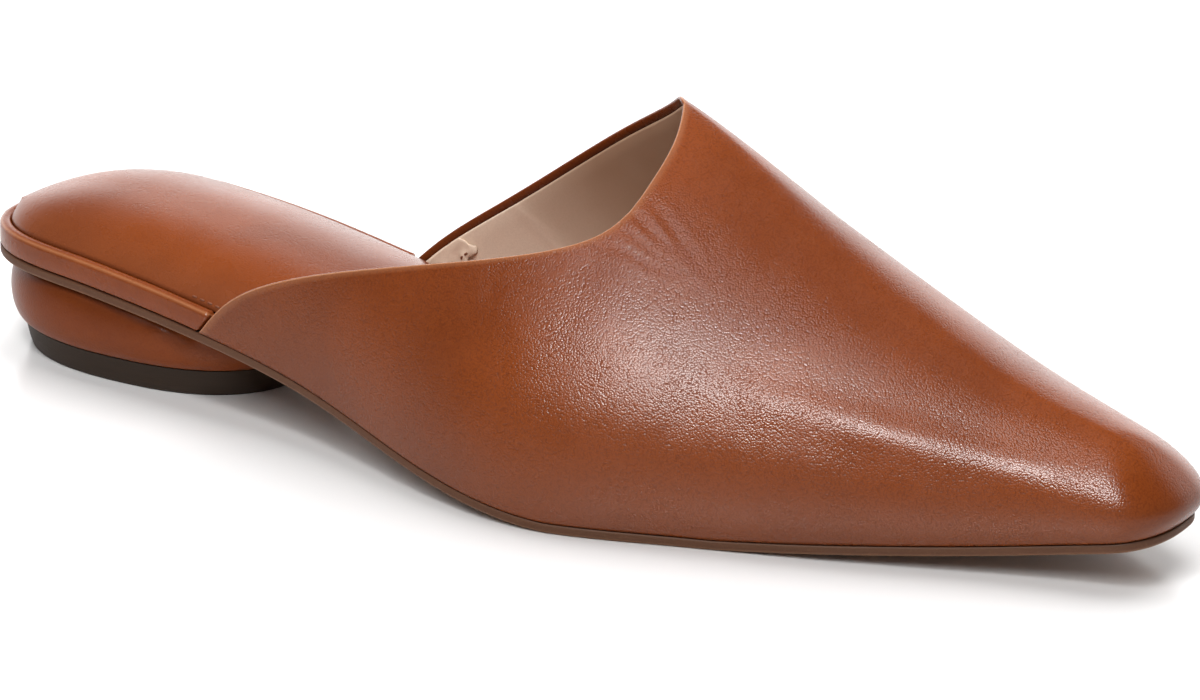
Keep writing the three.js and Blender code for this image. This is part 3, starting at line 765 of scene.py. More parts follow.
# Creases of the upper: girth place and share of the way from the top line to the
# toe of the middle, heading from the foot's length towards the ridge in degrees, and length,
# half width and depth in millimetres
Crease = namedtuple("Crease", "girth share heading length half_width depth")
CREASES = (
    Crease(-0.375, 0.020, 12, 9.0, 0.9, 0.20),
    Crease(-0.405, 0.034, 4, 8.0, 0.8, 0.18),
    Crease(-0.440, 0.046, -4, 9.5, 1.0, 0.16),
    Crease(-0.355, 0.052, 20, 10.0, 1.2, 0.14),
    Crease(-0.590, 0.040, 80, 4.5, 0.7, 0.18),
    Crease(-0.605, 0.058, 74, 6.5, 0.8, 0.18),
    Crease(-0.625, 0.048, 86, 5.0, 0.7, 0.14),
    Crease(-0.680, 0.070, 70, 7.0, 1.1, 0.13),
    Crease(0.420, 0.060, 65, 9.0, 1.2, 0.14),
    Crease(0.560, 0.085, 75, 8.0, 1.1, 0.14),
)
# How far a crease wavers to the sides, and how fast along its half length
CREASE_WAVER = 0.3 * MM
CREASE_BENDS = 1.7

# The soft ridge beside the toe: its girth place and half width, the share at which it starts and
# those over which it fades in and, before the tip, out
SHOULDER_GIRTH = -0.6
SHOULDER_HALF_WIDTH = 8 * MM
SHOULDER_START, SHOULDER_FADE_IN, SHOULDER_FADE_OUT = 0.2, 0.25, 0.35


def crease(points, normals, girth, share):
    """Distance to push each point of the upper along its normal: beside each crease's middle a
    trough with a ridge on both sides, depth * (w^2 - 1) * exp(-w^2 / 2 - u^2 / 2), where w is the
    distance across it over its half width and u the distance along it over half its length. A
    sine of u bends it a little."""
    push = np.zeros(points.shape[:2])
    for fold in CREASES:
        row = int(np.abs(girth - fold.girth).argmin())
        col = int(np.abs(share - fold.share).argmin())
        ahead = unit(points[row, col + 1] - points[row, col - 1])
        beside = np.cross(normals[row, col], ahead) * np.sign(-fold.girth)
        turn = math.radians(fold.heading)
        run = ahead * math.cos(turn) - beside * math.sin(turn)
        over = ahead * math.sin(turn) + beside * math.cos(turn)
        away = points - points[row, col]
        u = away @ run / (fold.length / 2 * MM)
        w = (away @ over + CREASE_WAVER * np.sin(CREASE_BENDS * u)) / (fold.half_width * MM)
        push += fold.depth * MM * (w * w - 1) * np.exp(-(w * w + u * u) / 2)
    return push


def shoulder(points, girth, share, height):
    """Height of the soft ridge along the outer side of the toe: a bell exp(-a^2) of the distance
    a across it over its half width, faded in behind the ball and out before the tip."""
    steps = np.linalg.norm(np.diff(points, axis=0), axis=-1)
    around = np.concatenate([np.zeros((1, len(share))), np.cumsum(steps, axis=0)])
    crest = around[np.abs(girth - SHOULDER_GIRTH).argmin()]
    across = (around - crest) / SHOULDER_HALF_WIDTH
    fade = smooth_step((share - SHOULDER_START) / SHOULDER_FADE_IN)
    return height * fade * smooth_step((1 - share) / SHOULDER_FADE_OUT) * np.exp(-across * across)


# Stitches: distance from one to the next, length and radius of the thread
Stitch = namedtuple("Stitch", "pitch length radius")
TAB_STITCH = Stitch(1.5 * MM, 1.0 * MM, 0.2 * MM)
SOCK_STITCH = Stitch(1.9 * MM, 1.3 * MM, 0.24 * MM)
STITCH_POINTS = 7
THREAD_SIDES = 8


def tube_grid(path, radius):
    """A closed round cord along a path: circles of the radius at right angles to the path, the
    radius falling to nothing at both ends as the root of 1 - s^4."""
    ahead = unit(np.gradient(path, axis=0))
    beside = unit(np.cross(ahead, (0.0, 0.0, 1.0)))
    above = np.cross(beside, ahead)
    ends = np.sqrt(1 - np.linspace(-1, 1, len(path)) ** 4)[:, None, None]
    angle = np.linspace(0, 2 * math.pi, THREAD_SIDES, endpoint=False)[None, :, None]
    ring = np.cos(angle) * beside[:, None] + np.sin(angle) * above[:, None]
    return {"points": path[:, None] + radius * ends * ring, "closed": True}


def stitch_row(name, path, stitch, material, node):
    """Stitches along a path: a short cord every pitch, laid along it."""
    steps = np.linalg.norm(np.diff(path, axis=0), axis=1)
    run = np.concatenate([[0], np.cumsum(steps)])
    grids = []
    for start in np.arange(stitch.pitch / 2, run[-1] - stitch.length, stitch.pitch):
        at = np.linspace(start, start + stitch.length, STITCH_POINTS)
        cord = np.stack([np.interp(at, run, path[:, axis]) for axis in range(3)], axis=1)
        grids.append(tube_grid(cord, stitch.radius))
    dress(put_mesh(name, grids), material, node, replaces=False)


# The vamp's shading: painted highlight over the burnish of the three rows at its turned edge, climb
# up to which painted shade darkens it, and where along the way to the toe it is pulled smooth
EDGE_BURNISH_AND_HIGHLIGHT = (0.2625, 0.75, 0.45)
PAINTED_SHADE_CLIMB = 0.42
TIGHT_START, TIGHT_FADE, TIGHT_SHARE = 0.55, 0.35, 0.5

# The lining: its gap behind the leather, its fold, which leans by this much along the foot for
# each millimetre below its upper end, and its painted shades, darker deeper in: how far past the
# fold each is full, and how much it adds
LINING_GAP = 0.02 * MM
FOLD_TOP = 34 * MM
FOLD_LEAN = 1.2
FOLD_HALF_WIDTH = 1.6 * MM
FOLD_DEPTH = 0.4 * MM
LINING_SHADES = ((2 * MM, 0.45), (40 * MM, 0.55))

# The lining's tab: climb of its two ends and how far it reaches there, points up and along it,
# gap behind the facing, half thickness, stand-off from the wall, the waves of its edge and of its
# face, and the rows, column and lift of its seam
TAB_LOW, TAB_HIGH = 0.04, 0.14
TAB_LOW_REACH, TAB_HIGH_REACH = 10 * MM, 4 * MM
TAB_ROWS, TAB_COLS = 40, 30
TAB_GAP = 0.2 * MM
TAB_HALF_THICKNESS = 0.22 * MM
TAB_STAND_OFF = 0.25 * MM
TAB_EDGE_WAVE, TAB_EDGE_BENDS = 0.5 * MM, 160
TAB_WAVE, TAB_BENDS_ALONG, TAB_BENDS_UP = 0.45 * MM, 9, 60
TAB_SEAM_ROWS, TAB_SEAM_COL, TAB_SEAM_LIFT = slice(4, 36), 22, 0.15 * MM


class MULE_OT_upper(bpy.types.Operator):
    """Builds the leather vamp, its lining with the tab, and the tab's stitches"""

    bl_idname = "mule.upper"
    bl_label = "Build the upper"

    def execute(self, context):
        last, colors = Last(context.scene.mule_sizes), context.scene.mule_colours
        self.leather(last, colors)
        self.lining(last, colors)
        self.tab(last, colors)
        return {"FINISHED"}

    def leather(self, last, colors):
        """The outer face with its creases and the soft ridge pushed along its normals, made a
        shell of the leather's thickness and closed along the sole edges."""
        thickness = last.sizes.leather_thickness
        girth, points = upper_grid(last, thickness / 2, ALONG_STEPS)
        normals = upper_normals(points)
        share = toe_crowded(ALONG_STEPS)
        push = crease(points, normals, girth, share)
        push += shoulder(points, girth, share, last.sizes.toe_shoulder)
        grid = shell(points + normals * push[..., None], normals, 0.0, thickness, EDGE_STEPS)
        cols = ALONG_STEPS + 1
        edge = np.zeros(grid.shape[1])
        edge[cols - 1:cols + 2] = EDGE_BURNISH_AND_HIGHLIGHT
        even = np.linspace(0, 1, cols)
        to_toe = np.concatenate([even[::-1], np.zeros(EDGE_STEPS), even])
        attributes = {
            # Painted highlight over the burnish of the turned edge
            "edge": edge,
            # Painted shade low on the vamp's sides
            "low": smooth_step((PAINTED_SHADE_CLIMB - (1 - np.abs(girth))) / PAINTED_SHADE_CLIMB)[:, None],
            "tight": smooth_step((to_toe - TIGHT_START) / TIGHT_FADE) * TIGHT_SHARE,
            # Painted shade: the whole inner face of the leather, seen as the facing, takes the dark colour
            "inside": np.arange(grid.shape[1]) > cols + EDGE_STEPS,
        }
        grids = [{"points": last.place(grid), "attributes": attributes}]
        for strip in close_bottom(grid, cols):
            grids.append({"points": last.place(strip), "attributes": dict.fromkeys(attributes, 0.0)})
        dress(put_mesh("vamp_leather", grids), leather("tan_leather", colors, attributes), "upper")

    def lining(self, last, colors):
        """The same face from the facing's edge, made a shell between the leather and the wall's
        inner side, with a bell-shaped fold pushed inwards."""
        sizes = last.sizes
        _, points = upper_grid(last, sizes.facing, ALONG_STEPS // 2)
        normals = upper_normals(points)
        fold = self.past_fold(points, sizes) / FOLD_HALF_WIDTH
        points = points - normals * (FOLD_DEPTH * np.exp(-fold * fold))[..., None]
        outside = sizes.leather_thickness + LINING_GAP
        grid = shell(points, normals, outside, sizes.wall, LINING_EDGE_STEPS)
        grids = []
        for patch in [grid, *close_bottom(grid, ALONG_STEPS // 2 + 1)]:
            past = self.past_fold(patch, sizes)
            # Painted shade: the lining darkens past its fold, deeper in the shoe
            deep = sum(smooth_step(past / reach) * shade for reach, shade in LINING_SHADES)
            grids.append({"points": last.place(patch), "attributes": {"deep": deep}})
        dress(put_mesh("vamp_lining", grids), lining_cloth("beige_lining", colors), "upper")

    @staticmethod
    def past_fold(points, sizes):
        """Distance along the foot past the lining's fold, which leans towards the toe."""
        return points[..., 0] - sizes.lining_fold - FOLD_LEAN * (FOLD_TOP - points[..., 2])

    def tab(self, last, colors):
        """The lining's gathered end on the inner side: a slanted flap whose edge and face wave as
        sines, thinned to nothing at both ends as the root of 1 - s^8, and its dark stitches."""
        sizes = last.sizes
        climb = np.linspace(TAB_LOW, TAB_HIGH, TAB_ROWS)[:, None]
        along = np.linspace(0, 1, TAB_COLS)[None, :]
        reach = mix(TAB_LOW_REACH, TAB_HIGH_REACH, (climb - TAB_LOW) / (TAB_HIGH - TAB_LOW))
        start = last.top_line(1 - climb) + sizes.facing + TAB_GAP
        x = start + (reach + TAB_EDGE_WAVE * np.sin(climb * TAB_EDGE_BENDS)) * along
        spot = last.upper(last.station(x), climb, MEDIAL)
        wave = TAB_WAVE * (1 + np.sin(along * TAB_BENDS_ALONG + climb * TAB_BENDS_UP)) * along
        depth = sizes.wall + TAB_STAND_OFF + wave
        inward = np.array([0.0, -1.0, 0.0])
        ends = np.sqrt(1 - np.linspace(-1, 1, TAB_ROWS) ** 8)[:, None]
        half = TAB_HALF_THICKNESS * ends
        near = spot + inward * (depth + half)[..., None]
        far = spot + inward * (depth - half)[..., None]
        ring = np.concatenate([near, far[:, ::-1]], axis=1)
        grid = {"points": last.place(ring), "closed": True, "attributes": {"deep": 0.0}}
        cloth = lining_cloth("tab_lining", colors)
        dress(put_mesh("lining_tab", [grid]), cloth, "upper", replaces=False)
        path = last.place(near[TAB_SEAM_ROWS, TAB_SEAM_COL] + inward * TAB_SEAM_LIFT)
        stitch_row("tab_stitches", path, TAB_STITCH, thread_cord("tab_thread", colors), "upper")


# Closed slabs under the foot


def slab_grids(layers, strips, dome=None):
    """A closed slab from layers (steps, side, xyz): walls between neighbouring layers, and end
    caps as strips from the outer to the inner side. The upper one may be domed by a function of
    x and the place across, from -1 to 1."""
    rings = np.stack([np.concatenate([layer[:, 0], layer[-2:0:-1, 1]]) for layer in layers])
    share = (1 - np.cos(np.linspace(0, math.pi, strips + 1))) / 2
    top = mix(layers[-1][:, None, 0], layers[-1][:, None, 1], share[None, :, None])
    if dome:
        top[..., 2] += dome(top[..., 0], 2 * share[None, :] - 1)
    return [{"points": rings, "closed": True}, {"points": layers[0]}, {"points": top}]


def shade_slab(grids, name, values):
    """Gives a slab's walls, lower cap and upper cap an attribute."""
    for grid, value in zip(grids, values):
        grid["attributes"] = {name: value}


def foot_layer(last, stations, inset, height, shift=None):
    """One outline of a piece that follows the sole's edge: the edge's points moved in by inset,
    at right angles to it, to a height. Both are functions of x and the side, height also of the
    moved x, and shift is one that first moves the stations along the foot."""
    sides = []
    for side in (LATERAL, MEDIAL):
        middle = last.length * (1 - np.cos(math.pi * stations)) / 2
        moved = last.station(middle + shift(middle, side)) if shift else stations
        moved = np.where((stations > 0) & (stations < 1), moved, stations)
        x, y, out_x, out_y = last.feather(moved, side)
        depth = inset(middle, side)
        px = x - out_x * depth
        sides.append(np.stack([px, y - out_y * depth, height(px, middle, side)], axis=-1))
    return last.place(np.stack(sides, axis=1))


# The footbed is full up to this share of the shoe's length and thins over the next
BED_FULL, BED_THINS = 0.287, 0.255

# Steps from the heel to the toe of the pieces that follow the sole's edge
SOLE_STATIONS = 300

# Grain of the leather on the wrap, on the sock and on the heel, and the heel's duller polish
RIM_GRAIN, SOCK_GRAIN, HEEL_GRAIN = 0.45, 0.5, 0.45
HEEL_ROUGHNESS, HEEL_GLOSS = 0.3, 0.16

# The wrap: climb up to which the upper's ends are looked at, length of its step under them and of
# its lean beside them, rounds of its foot as insets and heights and of the lip's inner side as
# insets and drops, points round the lip, the row where the lip's crest begins and its burnish with
# a painted highlight, and the board's small round and crown ahead of the step
TAIL_CLIMB = 0.3
STEP_LENGTH = 0.4 * MM
LEAN_LENGTH = 26 * MM
FOOT_ROUND = ((0.5 * MM, 0), (0.15 * MM, 0.15 * MM), (0, 0.5 * MM))
LIP_BACK = ((0.45 * MM, 0.02 * MM), (0.1 * MM, 0.25 * MM), (0, 0.6 * MM))
LIP_POINTS = 7
LIP_CREST = 6
LIP_BURNISH_AND_HIGHLIGHT = (0.2, 0.45, 0.2)
BOARD_ROUND = 0.3 * MM
BOARD_CROWN = 0.1 * MM


def bed_share(last, x):
    """How high the footbed stands: full at the seat and thinner under the forefoot."""
    sizes = last.sizes
    thinned = smooth_step((x / last.length - BED_FULL) / BED_THINS)
    return mix(1, sizes.board_height / sizes.rim_height, thinned)


def tail_at(last, height, side):
    """Where the upper's end lies along the foot on one side, at a height above the outsole."""
    climb = np.linspace(0, TAIL_CLIMB, CURVE_SAMPLES)
    x, _, z = last.upper(last.station(last.top_line(side * (1 - climb))), climb, side).T
    return float(np.interp(height, z - last.sole_top(x), x))


# The sock: stations, strips across, how far its edge is tucked in at its foot and its top, the
# share of the edge's height up to which it stands straight and the nip above that, the padding's
# shape and fill, and where across, from 0 to 1, painted shade begins to darken its slopes and how fast
SOCK_STATIONS = 260
SOCK_STRIPS = 70
SOCK_TUCK = 0.3 * MM
SOCK_WAIST = 0.7
SOCK_NIP = 0.08 * MM
PILLOW_FLATNESS = 2.6
PILLOW_POWER = 0.9
SOCK_PAINTED_SHADE_FROM, SOCK_PAINTED_SHADE_OVER = 0.25, 0.6

# Its seam: the part of the outer side that it runs on, in stations, and its place on the edge
SEAM_FROM, SEAM_TO, SEAM_POINTS = 0.30, 0.353, 60
SEAM_INSET, SEAM_LIFT = 0.5 * MM, 0.45 * MM


class MULE_OT_footbed(bpy.types.Operator):
    """Builds the wrapped footbed and the padded sock let into it, with its stitches"""

    bl_idname = "mule.footbed"
    bl_label = "Build the footbed and sock"

    def execute(self, context):
        last, colors = Last(context.scene.mule_sizes), context.scene.mule_colours
        self.rim(last, colors)
        self.sock(last, colors)
        return {"FINISHED"}

    def rim(self, last, colors):
        """The wrap as outlines one above the other: round its foot, up its side, round the lip as
        a quarter circle and down to the bed. Ahead of the upper's ends they make a thin board."""
        sizes = last.sizes
        gap, radius, top = sizes.fit_gap, sizes.lip_radius, sizes.rim_height
        bed = top - sizes.recess
        wall = [(inset, gap + height) for inset, height in FOOT_ROUND] + [(0, (gap + top) / 2)]
        turn = np.linspace(0, math.pi / 2, LIP_POINTS)
        lip = [(radius * (1 - math.cos(a)), top - radius * (1 - math.sin(a))) for a in turn]
        back = [(sizes.lip_width - inset, top - drop) for inset, drop in LIP_BACK]
        rows = wall + lip + back + [(sizes.lip_width, bed)]
        tails = {side: tail_at(last, 0, side) for side in (LATERAL, MEDIAL)}
        steps = (STEP_LENGTH, STEP_LENGTH / 2, 0)
        corners = [last.station(tails[side] - gap - step) for side in tails for step in steps]
        stations = np.unique(np.concatenate([toe_crowded(SOLE_STATIONS), corners]))
        foot = [inset for inset, _ in FOOT_ROUND]
        rounding = [*foot, *np.linspace(0, BOARD_ROUND, len(rows) - len(foot))]
        layers = []
        for k, behind in enumerate(rows):
            crown = BOARD_CROWN * max(0, LIP_CREST - k) / LIP_CREST
            ahead = sizes.wall + gap + rounding[k], min(behind[1], bed - crown)
            layers.append(self.wrap_layer(last, stations, tails, behind, ahead))
        grids = slab_grids(layers, 1)
        # Painted highlight over the burnish of the lip's crest
        glow = np.zeros((len(rows), 1))
        glow[LIP_CREST:LIP_CREST + len(LIP_BURNISH_AND_HIGHLIGHT), 0] = LIP_BURNISH_AND_HIGHLIGHT
        shade_slab(grids, "edge", (glow, 0.0, 0.0))
        finish = leather("rim_leather", colors, ("edge",), RIM_GRAIN)
        dress(put_mesh("rim_wrap", grids), finish, "footbed_rim")

    @staticmethod
    def wrap_layer(last, stations, tails, behind, ahead):
        """One outline of the wrap, with an inset and a height behind the upper's ends and others
        ahead of them. It leans beside each end as that end does."""
        gap = last.sizes.fit_gap
        (inset, height), (inset_ahead, height_ahead) = behind, ahead
        slant = {side: tail_at(last, height_ahead, side) - tails[side] for side in tails}

        def past(x, side):
            return np.clip((x - tails[side] + gap + STEP_LENGTH) / STEP_LENGTH, 0, 1)

        def lean(x, side):
            return slant[side] * (1 - smooth_step(np.abs(x - tails[side] + gap) / LEAN_LENGTH))

        def depth(x, side):
            return mix(inset, inset_ahead, past(x, side))

        def rise(x, middle, side):
            above = mix(height, height_ahead, past(middle, side))
            return last.sole_top(x) + np.maximum(gap, above * bed_share(last, x))

        return foot_layer(last, stations, depth, rise, lean)

    def sock(self, last, colors):
        """The tucked edge as outlines one above the other, domed by the product of a pillow
        across and one at each end, (1 - |s|^flatness)^power."""
        sizes = last.sizes
        bed = sizes.rim_height - sizes.recess
        side_gap = sizes.lip_width + sizes.fit_gap / 2
        profile = [
            (SOCK_TUCK, sizes.fit_gap),
            (0, sizes.fit_gap + SOCK_TUCK),
            (0, sizes.sock_edge * SOCK_WAIST),
            (SOCK_NIP, sizes.sock_edge),
            (SOCK_TUCK, sizes.sock_edge + SOCK_TUCK),
        ]

        def layer(stations, inset, height):
            def rise(x, middle, side):
                return last.sole_top(x) + bed * bed_share(last, x) + height

            return foot_layer(last, stations, lambda x, side: side_gap + inset, rise)

        def pillow(share):
            return (1 - np.minimum(1, np.abs(share)) ** PILLOW_FLATNESS) ** PILLOW_POWER

        def dome(x, across):
            own = x - last.heel_x
            ends = pillow(1 - np.clip(own / sizes.sock_ramp, 0, 1))
            ends = ends * pillow(1 - np.clip((last.length - own) / sizes.sock_ramp, 0, 1))
            return sizes.sock_crown * bed_share(last, own) ** 2 * pillow(across) * ends

        stations = toe_crowded(SOCK_STATIONS)
        grids = slab_grids([layer(stations, *row) for row in profile], SOCK_STRIPS, dome)
        across = np.abs(np.linspace(-1, 1, SOCK_STRIPS + 1))
        # Painted shade: full on the sock's tucked edge and underside, and over its top growing towards both
        # sides
        shade_slab(grids, "low", (1.0, 1.0, smooth_step((across - SOCK_PAINTED_SHADE_FROM) / SOCK_PAINTED_SHADE_OVER)))
        piece = put_mesh("sock_cover", grids)
        dress(piece, leather("sock_leather", colors, ("low",), SOCK_GRAIN), "sock")
        seam = layer(np.linspace(SEAM_FROM, SEAM_TO, SEAM_POINTS), SEAM_INSET, sizes.sock_edge + SEAM_LIFT)
        stitch_row("sock_stitches", seam[:, 0], SOCK_STITCH, thread_cord("sock_thread", colors), "sock")


# Soft folds of the heel cover's outer side: place along the foot, share of the block's height,
# half width and depth in millimetres
Fold = namedtuple("Fold", "along up half_width depth")
BLOCK_FOLDS = (
    Fold(47.0, 0.80, 2.2, 0.35),
    Fold(51.5, 0.74, 1.8, -0.30),
    Fold(55.0, 0.80, 2.0, 0.40),
    Fold(58.5, 0.72, 1.7, -0.30),
    Fold(61.5, 0.78, 1.9, 0.30),
    Fold(20.0, 0.86, 6.0, 0.15),
)
FOLD_HALF_HEIGHT = 0.13

# The outsole: points round its bevel, its upper edge as insets and drops, and how much wear with
# a painted highlight pales the bevel's foot and how much wear pales the underside
BEVEL_POINTS = 6
SHEET_EDGE = ((0.0, 0.35 * MM), (0.0, 0.12 * MM), (0.12 * MM, 0.0))
BEVEL_WEAR_AND_HIGHLIGHT = 0.9
UNDERSIDE_WEAR = 0.4

# The heel: roundness and steps of its oval, layers of the block, its gap to what it touches, and
# the painted shade under the sole that darkens it, more from this share of its height on
OVAL_POWER = 2.4
OVAL_STEPS = 160
BLOCK_LAYERS = 29
BLOCK_GAP = 0.1 * MM
BLOCK_SHADE, BLOCK_DARKENS = 0.2, 0.3
SHADE_FROM, SHADE_OVER = 0.4, 0.5

# The lift: its rounded foot as growth and height, its side as shares of the flare and the height,
# and its upper edge as how far it draws in at a share of the height
LIFT_FOOT = ((-0.5 * MM, 0.0), (-0.15 * MM, 0.12 * MM), (0.02 * MM, 0.5 * MM))
LIFT_SIDE = (0.3, 0.6, 0.94)
LIFT_EDGE = ((0.02 * MM, 0.985), (0.2 * MM, 1.0))


class MULE_OT_sole(bpy.types.Operator):
    """Builds the outsole sheet, the covered heel block and the top lift"""

    bl_idname = "mule.sole"
    bl_label = "Build the sole and heel"

    def execute(self, context):
        last, colors = Last(context.scene.mule_sizes), context.scene.mule_colours
        self.outsole(last, colors)
        self.block(last, colors)
        self.lift(last, colors)
        return {"FINISHED"}

    def outsole(self, last, colors):
        """The sheet as outlines one above the other: a quarter circle round the bevel, then the
        small round of the upper edge."""
        bevel, stations = last.sizes.outsole_bevel, toe_crowded(SOLE_STATIONS)

        def layer(level, inset, height):
            return foot_layer(last, stations, lambda x, side: inset, lambda x, *_: level(x) + height)

        layers = []
        wear = []
        for angle in np.linspace(0, math.pi / 2, BEVEL_POINTS):
            up = 1 - math.cos(angle)
            layers.append(layer(last.underside, bevel * (1 - math.sin(angle)), bevel * up))
            # Wear with a painted highlight along the bevel's foot
            wear.append([BEVEL_WEAR_AND_HIGHLIGHT * (1 - up)])
        for inset, drop in SHEET_EDGE:
            layers.append(layer(last.sole_top, inset, -drop))
            wear.append([0.0])
        grids = slab_grids(layers, 1)
        shade_slab(grids, "worn", (np.array(wear), UNDERSIDE_WEAR, 0.0))
        finish = sole_stock("outsole_stock", colors.outsole[:], colors.outsole_wear_and_highlight[:], edge_wear_and_highlight=True)
        dress(put_mesh("outsole_sheet", grids), finish, "outsole")

    @staticmethod
    def oval(last, grow, height, ripple=None):
        """An oval layer under the heel: the superellipse |x|^n + |y|^n = 1 over the lift's foot,
        grown outwards, at a height. Height and ripple, which moves the outer side, are functions
        of the place along the foot."""
        flare = last.sizes.lift_flare
        centre = (LIFT_LOW + LIFT_HIGH) / 2
        half_x, half_y = ((LIFT_HIGH - LIFT_LOW) / 2 - flare)[:2]
        angle = np.linspace(math.pi, 0, OVAL_STEPS + 1)
        c, s = np.cos(angle), np.abs(np.sin(angle))
        s[[0, -1]] = 0
        power = 2 / OVAL_POWER
        x = centre[0] + (half_x + grow) * np.sign(c) * np.abs(c) ** power
        y = (half_y + grow) * s**power
        own = x - last.heel_x
        outer = -y - s * ripple(own) if ripple else -y
        sides = [np.stack([x, centre[1] + across, height(own)], axis=-1) for across in (outer, y)]
        return np.stack(sides, axis=1)

    def block(self, last, colors):
        """Ovals between the lift and the outsole that swell as a half ellipse, with the sum of
        bell-shaped folds on the outer side."""
        sizes = last.sizes
        floor = LIFT_HIGH[2] + BLOCK_GAP
        shares = (1 - np.cos(np.linspace(0, math.pi, BLOCK_LAYERS))) / 2

        def layer(share):
            def height(x):
                return mix(floor, last.underside(x) - BLOCK_GAP, share)

            def ripple(x):
                return sum(
                    fold.depth * MM
                    * np.exp(-(((x / MM - fold.along) / fold.half_width) ** 2))
                    * math.exp(-(((share - fold.up) / FOLD_HALF_HEIGHT) ** 2))
                    for fold in BLOCK_FOLDS
                )

            swell = math.sqrt(max(0.0, 1 - (2 * share - 1) ** 2))
            return self.oval(last, sizes.block_bulge - sizes.block_tuck * (1 - swell), height, ripple)

        grids = slab_grids([layer(share) for share in shares], 2)
        up = np.linspace(0, 1, BLOCK_LAYERS)[:, None]
        shade = BLOCK_SHADE + BLOCK_DARKENS * smooth_step((up - SHADE_FROM) / SHADE_OVER)
        # Painted shade under the sole: the dark facing colour over the whole block, more towards its top
        shade_slab(grids, "inside", (shade, shade[:1], shade[-1:]))
        finish = leather("heel_leather", colors, ("inside",), HEEL_GRAIN, HEEL_ROUGHNESS, HEEL_GLOSS)
        dress(put_mesh("heel_cover", grids), finish, "heel_block")

    def lift(self, last, colors):
        """Ovals from the rounded foot up a straight flared side to the drawn-in upper edge."""
        flare, tall = last.sizes.lift_flare, LIFT_HIGH[2]
        rows = [*LIFT_FOOT, *((flare * share, tall * share) for share in LIFT_SIDE)]
        rows += [(flare - draw, tall * share) for draw, share in LIFT_EDGE]
        layers = [self.oval(last, grow, lambda x, z=z: np.full_like(x, z)) for grow, z in rows]
        finish = sole_stock("lift_rubber", colors.lift[:], colors.lift_worn[:])
        dress(put_mesh("lift_stock", slab_grids(layers, 1)), finish, "top_lift")


# The stage

# Lights: bearing from -Y towards +X and elevation in degrees, width and height in metres, and
# whether they light matt surfaces and shine in glossy ones. Each faces the shoe's middle.
SoftBox = namedtuple("SoftBox", "setting bearing elevation width height matt shine")
LIGHTS = {
    "toe_strip": SoftBox("strip", 10, 38, 0.45, 0.05, False, True),
    "front_fill": SoftBox("fill", 5, 50, 0.6, 0.6, True, False),
    "top_box": SoftBox("box", 0, 64, 0.3, 0.2, True, True),
    "ceiling": SoftBox("ceiling", 180, 76, 1.0, 0.8, True, False),
}
LIGHT_DISTANCE = 1.2
LIGHT_TARGET = Vector((0.04, 0, 0.03))

# The bright screen behind the shoe: the share of a ray that runs away from the camera from which
# it fades in, and the share that runs up over which it fades out
SCREEN_SIDE = (0.1, 0.75)
SCREEN_TOP = (0.32, 0.6)

FLOOR_SIZE = 8.0
FLOOR_CLOUDS = 0.1
FLOOR_PALE = (0.92, 0.92, 0.92, 1.0)
FLOOR_ROUGHNESS, FLOOR_GLOSS = 0.22, 0.5

# The photograph's frame, the point that its axis goes through, and the camera's sensor and reach
FRAME_WIDTH, FRAME_HEIGHT = 1200, 700
AXIS_ACROSS, AXIS_DOWN = 598.63, 326.78
SENSOR_WIDTH = 36.0
CAMERA_REACH = 50.0


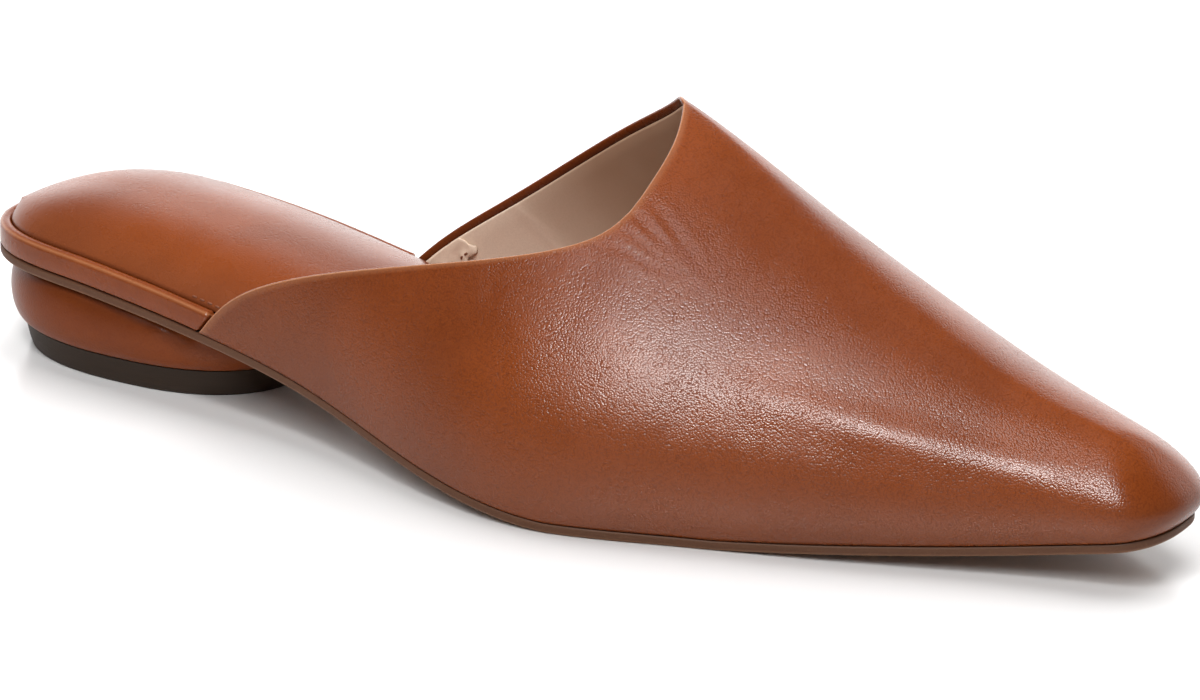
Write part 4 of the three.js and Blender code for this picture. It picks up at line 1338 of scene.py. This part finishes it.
class MULE_OT_stage(bpy.types.Operator):
    """Lays the floor, hangs the lights and sets the camera at the photograph's angle"""

    bl_idname = "mule.stage"
    bl_label = "Set the stage"

    def execute(self, context):
        stage = context.scene.mule_stage
        context.scene.view_settings.view_transform = "Standard"
        self.floor(context.scene.mule_colours)
        self.sky(context.scene, stage)
        for name, light in LIGHTS.items():
            self.soft_box(name, light, getattr(stage, light.setting))
        self.camera(context.scene, stage)
        return {"FINISHED"}

    @staticmethod
    def floor(colors):
        paint = Paint("pale_floor")
        clouds = paint.noise("floor_clouds") * FLOOR_CLOUDS
        tone = paint.blend(clouds, colors.floor[:], FLOOR_PALE)
        bpy.ops.mesh.primitive_plane_add(size=FLOOR_SIZE)
        ground = bpy.context.object
        ground.name = "studio_floor"
        finish = paint.finish(tone, FLOOR_ROUGHNESS, Specular_IOR_Level=FLOOR_GLOSS)
        ground.data.materials.append(finish)

    @staticmethod
    def sky(scene, stage):
        """White where the camera sees it, and otherwise a dim sky with a bright screen low behind
        the shoe."""
        world = bpy.data.worlds.new("studio_sky")
        world.use_nodes = True
        sky = Graph(world.node_tree)
        ray = sky.node("ShaderNodeTexCoord", output="Generated")
        away = (-math.sin(stage.azimuth), math.cos(stage.azimuth), 0.0)
        behind = sky.node("ShaderNodeVectorMath", {"operation": "DOT_PRODUCT"}, [ray, away], output="Value")
        upward = sky.node("ShaderNodeSeparateXYZ", {}, [ray], output="Z")
        screen = sky.ramp(behind, *SCREEN_SIDE) * (1.0 - sky.ramp(upward, *SCREEN_TOP))
        glow = screen * (stage.screen - stage.sky) + stage.sky
        seen = sky.node("ShaderNodeLightPath", output="Is Camera Ray")
        backdrop = world.node_tree.nodes["Background"]
        sky.feed(backdrop.inputs["Color"], (1.0, 1.0, 1.0, 1.0))
        sky.feed(backdrop.inputs["Strength"], seen + (1.0 - seen) * glow)
        scene.world = world

    @staticmethod
    def soft_box(name, light, radiance):
        """A rectangular light. Its power is radiance times pi times its area."""
        bearing, elevation = math.radians(light.bearing), math.radians(light.elevation)
        level = math.cos(elevation)
        away = Vector((math.sin(bearing) * level, -math.cos(bearing) * level, math.sin(elevation)))
        data = bpy.data.lights.new(name, "AREA")
        data.shape = "RECTANGLE"
        data.size, data.size_y = light.width, light.height
        data.energy = radiance * math.pi * light.width * light.height
        lamp = bpy.data.objects.new(name, data)
        lamp.location = away * LIGHT_DISTANCE + LIGHT_TARGET
        lamp.rotation_euler = away.to_track_quat("Z", "Y").to_euler()
        lamp.visible_diffuse, lamp.visible_glossy = light.matt, light.shine
        bpy.context.scene.collection.objects.link(lamp)

    @staticmethod
    def camera(scene, stage):
        """Camera from the fit to the photograph: azimuth from -Y towards +X, elevation, roll."""
        a, e, r = stage.azimuth, stage.elevation, stage.roll
        back = np.array([math.sin(a) * math.cos(e), -math.cos(a) * math.cos(e), math.sin(e)])
        level = np.array([math.cos(a), math.sin(a), 0.0])
        upright = np.cross(back, level)
        right = level * math.cos(r) + upright * math.sin(r)
        up = upright * math.cos(r) - level * math.sin(r)
        last = Last(scene.mule_sizes)
        target = last.place(np.array([stage.target_along, 0.0, stage.target_up]))
        data = bpy.data.cameras.new("photo_camera")
        data.lens = stage.focal
        data.sensor_width = SENSOR_WIDTH
        data.clip_end = CAMERA_REACH
        data.shift_x = (FRAME_WIDTH / 2 - AXIS_ACROSS) / FRAME_WIDTH
        data.shift_y = (AXIS_DOWN - FRAME_HEIGHT / 2) / FRAME_WIDTH
        camera = bpy.data.objects.new("photo_camera", data)
        turned = np.stack([right, up, back, target + back * stage.distance], axis=1)
        camera.matrix_world = Matrix([*turned.tolist(), [0, 0, 0, 1]])
        scene.collection.objects.link(camera)
        bpy.context.scene.camera = camera


class MULE_PT_panel(bpy.types.Panel):
    """Lists the shoe's operators and sizes"""

    bl_idname = "MULE_PT_panel"
    bl_label = "Pointed flat mule"
    bl_space_type = "VIEW_3D"
    bl_region_type = "UI"
    bl_category = "Mule"

    def draw(self, context):
        for operator in OPERATORS:
            self.layout.operator(operator.bl_idname)
        for group in (context.scene.mule_sizes, context.scene.mule_colours, context.scene.mule_stage):
            box = self.layout.box()
            for key in group.bl_rna.properties.keys():
                if key not in ("rna_type", "name"):
                    box.prop(group, key)


GROUPS = {"mule_sizes": MuleSizes, "mule_colours": MuleColours, "mule_stage": MuleStage}
OPERATORS = (MULE_OT_stage, MULE_OT_upper, MULE_OT_footbed, MULE_OT_sole)


def register():
    for kind in (*GROUPS.values(), *OPERATORS, MULE_PT_panel):
        bpy.utils.register_class(kind)
    for name, kind in GROUPS.items():
        setattr(bpy.types.Scene, name, bpy.props.PointerProperty(type=kind))


def unregister():
    for name in GROUPS:
        delattr(bpy.types.Scene, name)
    for kind in (MULE_PT_panel, *OPERATORS, *GROUPS.values()):
        bpy.utils.unregister_class(kind)


def main():
    register()
    for operator in OPERATORS:
        group, name = operator.bl_idname.split(".")
        getattr(getattr(bpy.ops, group), name)()


if __name__ == "__main__":
    main()
